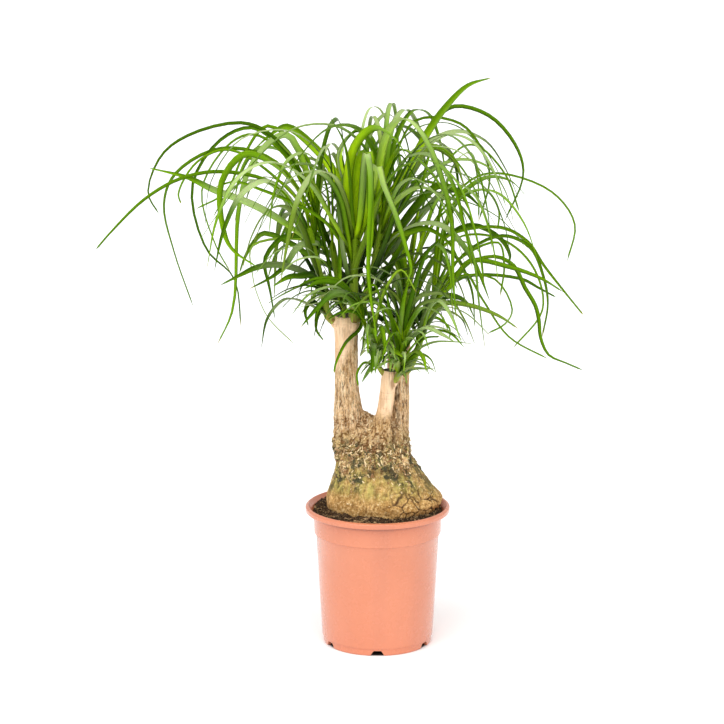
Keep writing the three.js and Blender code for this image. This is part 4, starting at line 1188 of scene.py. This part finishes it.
def along_blade(blade, shares):
    """Places, half widths, sides and undersides of a blade at its shares."""
    spans = curve_spans(blade["points"])
    places = on_curve(spans, shares)
    along = curve_directions(spans, shares)
    tip = blade["points"][-1] - blade["points"][0]
    across = np.array([-tip[1], tip[0], 0])
    across /= np.linalg.norm(across)
    side = across - along * (along @ across)[:, None]
    side /= np.linalg.norm(side, axis=1)[:, None]
    under = np.cross(side, along)
    turn = (blade["turn"] * np.minimum(1, shares * 3))[:, None]
    half = blade["width"] * (1 - shares ** TAPER) * (0.72 + 0.28 * np.minimum(1, shares * 5)) / 2
    return places, half, *rolled(side, under, turn)


def balls_along(places, halves):
    """Small balls along a path: x, y, z, radius, and 1 where it is free of its own shoot's stem."""
    parts = []
    for a, b, start, end in zip(places, places[1:], halves, halves[1:]):
        count = max(1, math.ceil(np.linalg.norm(b - a) / 2.5))
        t = np.arange(count + 1)[:, None] / count
        parts.append(np.hstack([a + (b - a) * t, start + (end - start) * t]))
    balls = np.concatenate(parts)
    free = np.linalg.norm(balls[:, :3] - places[0], axis=1) > FUSED_REACH
    return np.hstack([balls, free[:, None]])


def balls_round(places, radii):
    """Balls for a thick stem: several round its axis, each no larger than a cell can answer for."""
    rows = []
    for x, y, z, radius, _ in balls_along(places, radii):
        for n in range(8):
            angle = n / 8 * TAU
            reach = radius * 0.6
            rows.append((x + math.cos(angle) * reach, y + math.sin(angle) * reach, z, radius * 0.45, 0))
        rows.append((x, y, z, min(radius, 6), 0))
    return np.array(rows)


class Room:
    """Small balls along every placed blade and stem, kept in cells, with the owner's number."""

    CELL = 16
    CHUNK = 12

    def __init__(self):
        self.rows = np.empty((300000, 9))
        self.count = 0
        self.cells = {}

    def occupy(self, balls, owner):
        cells = np.floor(balls[:, :3] / self.CELL)
        end = self.count + len(balls)
        self.rows[self.count:end] = np.hstack([balls, np.full((len(balls), 1), owner), cells])
        for number, cell in enumerate(map(tuple, cells.astype(int).tolist()), self.count):
            self.cells.setdefault(cell, []).append(number)
        self.count = end

    def near(self, cells):
        found = set()
        for x, y, z in set(map(tuple, cells.astype(int).tolist())):
            found.update((x + n % 3 - 1, y + n // 3 % 3 - 1, z + n // 9 - 1) for n in range(27))
        return self.rows[[number for cell in found for number in self.cells.get(cell, ())]]

    def is_free(self, balls, owner):
        """Blades of one shoot may touch near its stem, and keep apart beyond it."""
        for first in range(0, len(balls), self.CHUNK):
            some = balls[first:first + self.CHUNK]
            cells = np.floor(some[:, :3] / self.CELL)
            near = self.near(cells)
            if not len(near):
                continue
            gap = np.linalg.norm(some[:, None, :3] - near[None, :, :3], axis=2)
            reach = some[:, None, 3] + near[None, :, 3]
            both_free = (some[:, None, 4] * near[None, :, 4]) > 0
            own = near[None, :, 5] == owner
            clash = np.where(own, both_free & (gap < 0.6 * reach), gap < reach + BLADE_SPACE)
            if clash.any():
                beside = (np.abs(cells[:, None] - near[None, :, 6:]) <= 1).all(2)
                if (clash & beside).any():
                    return False
        return True


def grow_blades():
    """Every blade of each shoot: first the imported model's own in its order, then the thin ones between."""
    room = Room()
    for rows in TRUNK_STEMS.values():
        rows = np.array(rows, float)
        room.occupy(balls_round(rows[:, :3], rows[:, 3]), -1)
    for number, shoot in enumerate(SHOOTS):
        stem = np.array(shoot["stem"], float)
        room.occupy(balls_along(stem, np.linspace(*shoot["radius"], len(stem))), number)
        shoot["blades"] = []
    names = [shoot["name"] for shoot in SHOOTS]

    def place(number, blade, age):
        count = min(MOST_STATIONS, len(blade["points"]) + 1)
        places, half = along_blade(blade, np.arange(count) / (count - 1))[:2]
        balls = balls_along(places, half)
        if not room.is_free(balls, number):
            return False
        room.occupy(balls, number)
        SHOOTS[number]["blades"].append({**blade, "age": age})
        return True

    def place_arched(number, index, first, widths):
        shoot = SHOOTS[number]
        for attempt in range(MOST_ATTEMPTS):
            blade = arched_blade(shoot, first + index, attempt)
            if first and blade["age"] < shoot["bare"]:
                return
            blade["width"] *= mix(*widths, index * GOLDEN_ANGLE % 1)
            x, y, z = blade["points"].T
            beside = x.min() < NEAR_TRUNK["left"] + 20 or x.max() > NEAR_TRUNK["right"]
            hangs = z.min() < EXTRA_LOWEST and beside
            stray = first and (hangs or y.max() > EXTRA_BACK)
            if not stray and inside_crown(blade, **shoot["limits"]) and place(number, blade, blade["age"]):
                return

    for name, rows in SEEN_BLADES.items():
        number = names.index(name)
        shoot = SHOOTS[number]
        for seen in rows:
            root = on_stem_at(shoot, seen[3][0][1] - ROOT_DROP)
            low, high = shoot["stem"][0][2], shoot["stem"][-1][2]
            age = 0.25 + 0.7 * (root[2] - low) / (high - low)
            any(place(number, seen_blade(shoot, seen, shift), age) for shift in DEPTH_SHIFTS)
    for first, widths in ((0, (1, 1)), (EXTRA, EXTRA_WIDTH)):
        counts = [shoot["leaves"] * (shoot["more"] if first else 1) for shoot in SHOOTS]
        for index in range(math.ceil(max(counts))):
            for number, count in enumerate(counts):
                if index < count:
                    place_arched(number, index, first, widths)


# Across a blade: the share of its half width, and whether the point is on top (1), below (-1) or on the edge
SECTION = [(-1, 0), (-0.55, 1), (0, 1), (0.55, 1), (1, 0), (0.55, -1), (0, -1), (-0.55, -1)]


def turned_to_front(side, under, amount):
    """Sides and undersides of a blade, rolled about its length until its face shows more from the front."""
    along = np.cross(under, side)
    toward = 1 if under[:, 1].sum() > 0 else -1
    under = under + (0, amount * toward, 0)
    under -= along * (under * along).sum(1)[:, None]
    under /= np.linalg.norm(under, axis=1)[:, None]
    return np.cross(along, under), under


def blade_mesh(blade, stations, twist):
    """A blade's points and faces, then where across and along it each point is and how far it faces up."""
    shares = np.linspace(0, 1, stations + 1)[:-1]
    places, half, side, under = along_blade(blade, shares)
    half *= (1 - shares ** FULL_TAPER) / (1 - shares ** TAPER) * (0.45 + 0.55 * smooth_step(0, 0.09, shares))
    half = np.maximum(half, blade["thin"] * (1 - 0.45 * shares))
    turn = (twist * shares)[:, None]
    side, under = rolled(side, under, turn)
    if blade["slim"]:
        side, under = turned_to_front(side, under, SEEN_FACING)
    rings = []
    for across, above in SECTION:
        depth = CHANNEL * half * (1 - abs(across) ** 1.2) - above * THICKNESS / 2
        rings.append(places + side * (half * across)[:, None] + under * depth[:, None])
    points = np.stack(rings, 1).reshape(-1, 3)
    sides = len(SECTION)
    last = len(points) - sides
    faces = ring_faces(stations, sides)
    faces.append(tuple(reversed(range(sides))))
    faces += [(last + i, last + (i + 1) % sides, len(points)) for i in range(sides)]
    points = np.concatenate([points, along_blade(blade, np.array([1.0]))[0]])
    across = np.append(np.tile([part[0] for part in SECTION], stations), 0)
    share = np.append(np.repeat(shares, sides), 1)
    upward = np.append(np.repeat(np.abs(under[:, 2]), sides), 0)
    return (points, faces), across, share, upward


def blade_values(shoot, blade, across, share, upward, chances):
    """What the leaf material reads at each point of a blade, from its place, its age and four chances."""
    tone, dry, yellow, sheen_chance = chances
    age, width = blade["age"], blade["width"]
    fresh = mix(shoot["fresh"], 1, age)
    wide = smooth_step(7, 11, width)
    broad = smooth_step(9, 12, width) * age
    outward = smooth_step(0.05 + 0.3 * broad, 0.25 + 0.4 * broad, share)
    shaded = smooth_step(1.15, 0.1, share) * smooth_step(0.66, 0.42, fresh) * (0.3 if blade["slim"] else 1)
    # Painted highlights along the bend of some wide blades and on parts that face up
    fold_highlight = 0.8 * wide * age * smooth_step(0.45, 0.9, sheen_chance)
    fold_highlight = fold_highlight * smooth_step(0.15, 0.4, share) * smooth_step(0.75, 0.45, share)
    top_highlight = (0.75 + 0.25 * wide) * sheen_chance ** 1.2 * smooth_step(0.5, 0.95, upward)
    return {
        # Which half of the blade gets the painted shade is chosen at random
        "across": across if yellow < 0.5 else -across,
        "age": fresh,
        "tone": max(tone, smooth_step(9, 13, width) * smooth_step(0.45, 0.65, age)),
        "pale": 0.25 * smooth_step(0.05, 0, share) * (1 - age) + 0.2 * (yellow > 0.85),
        "outer": 0.9 * outward * smooth_step(0, 0.6, age),
        "dry": (dry > 0.6) * smooth_step(1 - 0.05 * dry, 1, share),
        # Painted shade within the crown and at the root
        "deep": np.maximum(shaded, 0.75 * smooth_step(0.14, 0.02, share)),
        "sheen": np.maximum(fold_highlight, top_highlight * mix(0.4, 1, smooth_step(0.35, 0.6, fresh))),
    }


def build_shoot(shoot):
    rng = np.random.default_rng(shoot["seed"])
    stem = np.array(shoot["stem"], float)
    radii = np.linspace(*shoot["radius"], len(stem))
    along = stem[1] - stem[0]
    seat = stem[0] - along / np.linalg.norm(along) * SEAT_DEPTH
    swollen = [radii[0] * 0.6, radii[0], *radii[1:], 1.2]
    rows = np.column_stack([np.vstack([seat, stem, stem[-1] + (0, 0, 6)]), swollen])
    parts = [capped(tube_rings(rows, TUBE_SIDES, TUBE_STEPS))]
    husk = np.repeat((1 - np.linspace(0, 1, TUBE_STEPS)) ** 1.8, TUBE_SIDES)
    veins = np.tile(np.linspace(-3, 3, TUBE_SIDES), TUBE_STEPS)
    plain = {"outer": 0, "dry": 0, "deep": 0, "sheen": 0}
    looks = [{"across": veins, "age": 0.55, "tone": 0.5, "pale": husk, **plain}]
    for blade in shoot["blades"]:
        length = np.linalg.norm(np.diff(blade["points"], axis=0), axis=1).sum()
        *chances, twist = rng.uniform(0, 1, 5)
        stations = LONG_STATIONS if length > LONG else SHORT_STATIONS
        part, *places = blade_mesh(blade, stations, (twist - 0.5) * blade["twist"])
        parts.append(part)
        looks.append(blade_values(shoot, blade, *places, chances))
    values = {
        label: np.concatenate([np.full(len(part[0]), look[label], float) for part, look in zip(parts, looks)])
        for label in looks[0]
    }
    make_piece(shoot["name"] + "_leaves", joined(parts), LEAF, [shoot["name"]], values)


build_pot()
build_soil()
build_crumbs()
build_fibres()
build_flakes(*build_trunk())
grow_blades()
for shoot in SHOOTS:
    build_shoot(shoot)


# Floor, lights and camera
def build_floor():
    corners = [(x * FLOOR_REACH, y * FLOOR_REACH, 0) for x, y in ((-1, -1), (1, -1), (1, 1), (-1, 1))]
    mesh = new_mesh("floor", corners, [(0, 1, 2, 3)])
    mesh.materials.append(floor_white())
    add_object("floor", mesh)


def sun(name, place, strength, spread):
    """A soft far lamp that shines from a place towards the object, with its spread in degrees."""
    lamp = bpy.data.lights.new(name, "SUN")
    lamp.energy = strength
    lamp.angle = math.radians(spread)
    add_object(name, lamp).rotation_euler = (-Vector(place)).to_track_quat("-Z", "Y").to_euler()


build_floor()
sun("key", (-0.35, -1.15, 1.9), strength=2.3, spread=68)
sun("fill", (1.3, -1.2, 0.9), strength=0.3, spread=70)
world = bpy.data.worlds.new("studio")
world.use_nodes = True
background = world.node_tree.nodes["Background"]
background.inputs["Color"].default_value = (1, 1, 1, 1)
background.inputs["Strength"].default_value = 0.7
bpy.context.scene.world = world
bpy.context.scene.view_settings.view_transform = "Standard"

camera_data = bpy.data.cameras.new("camera")
camera_data.sensor_width = 36
camera_data.lens = LENS
camera = add_object("camera", camera_data)
camera.location = Vector(EYE) * MM
camera.rotation_euler = (Vector(TARGET) - Vector(EYE)).to_track_quat("-Z", "Y").to_euler()
bpy.context.scene.camera = camera
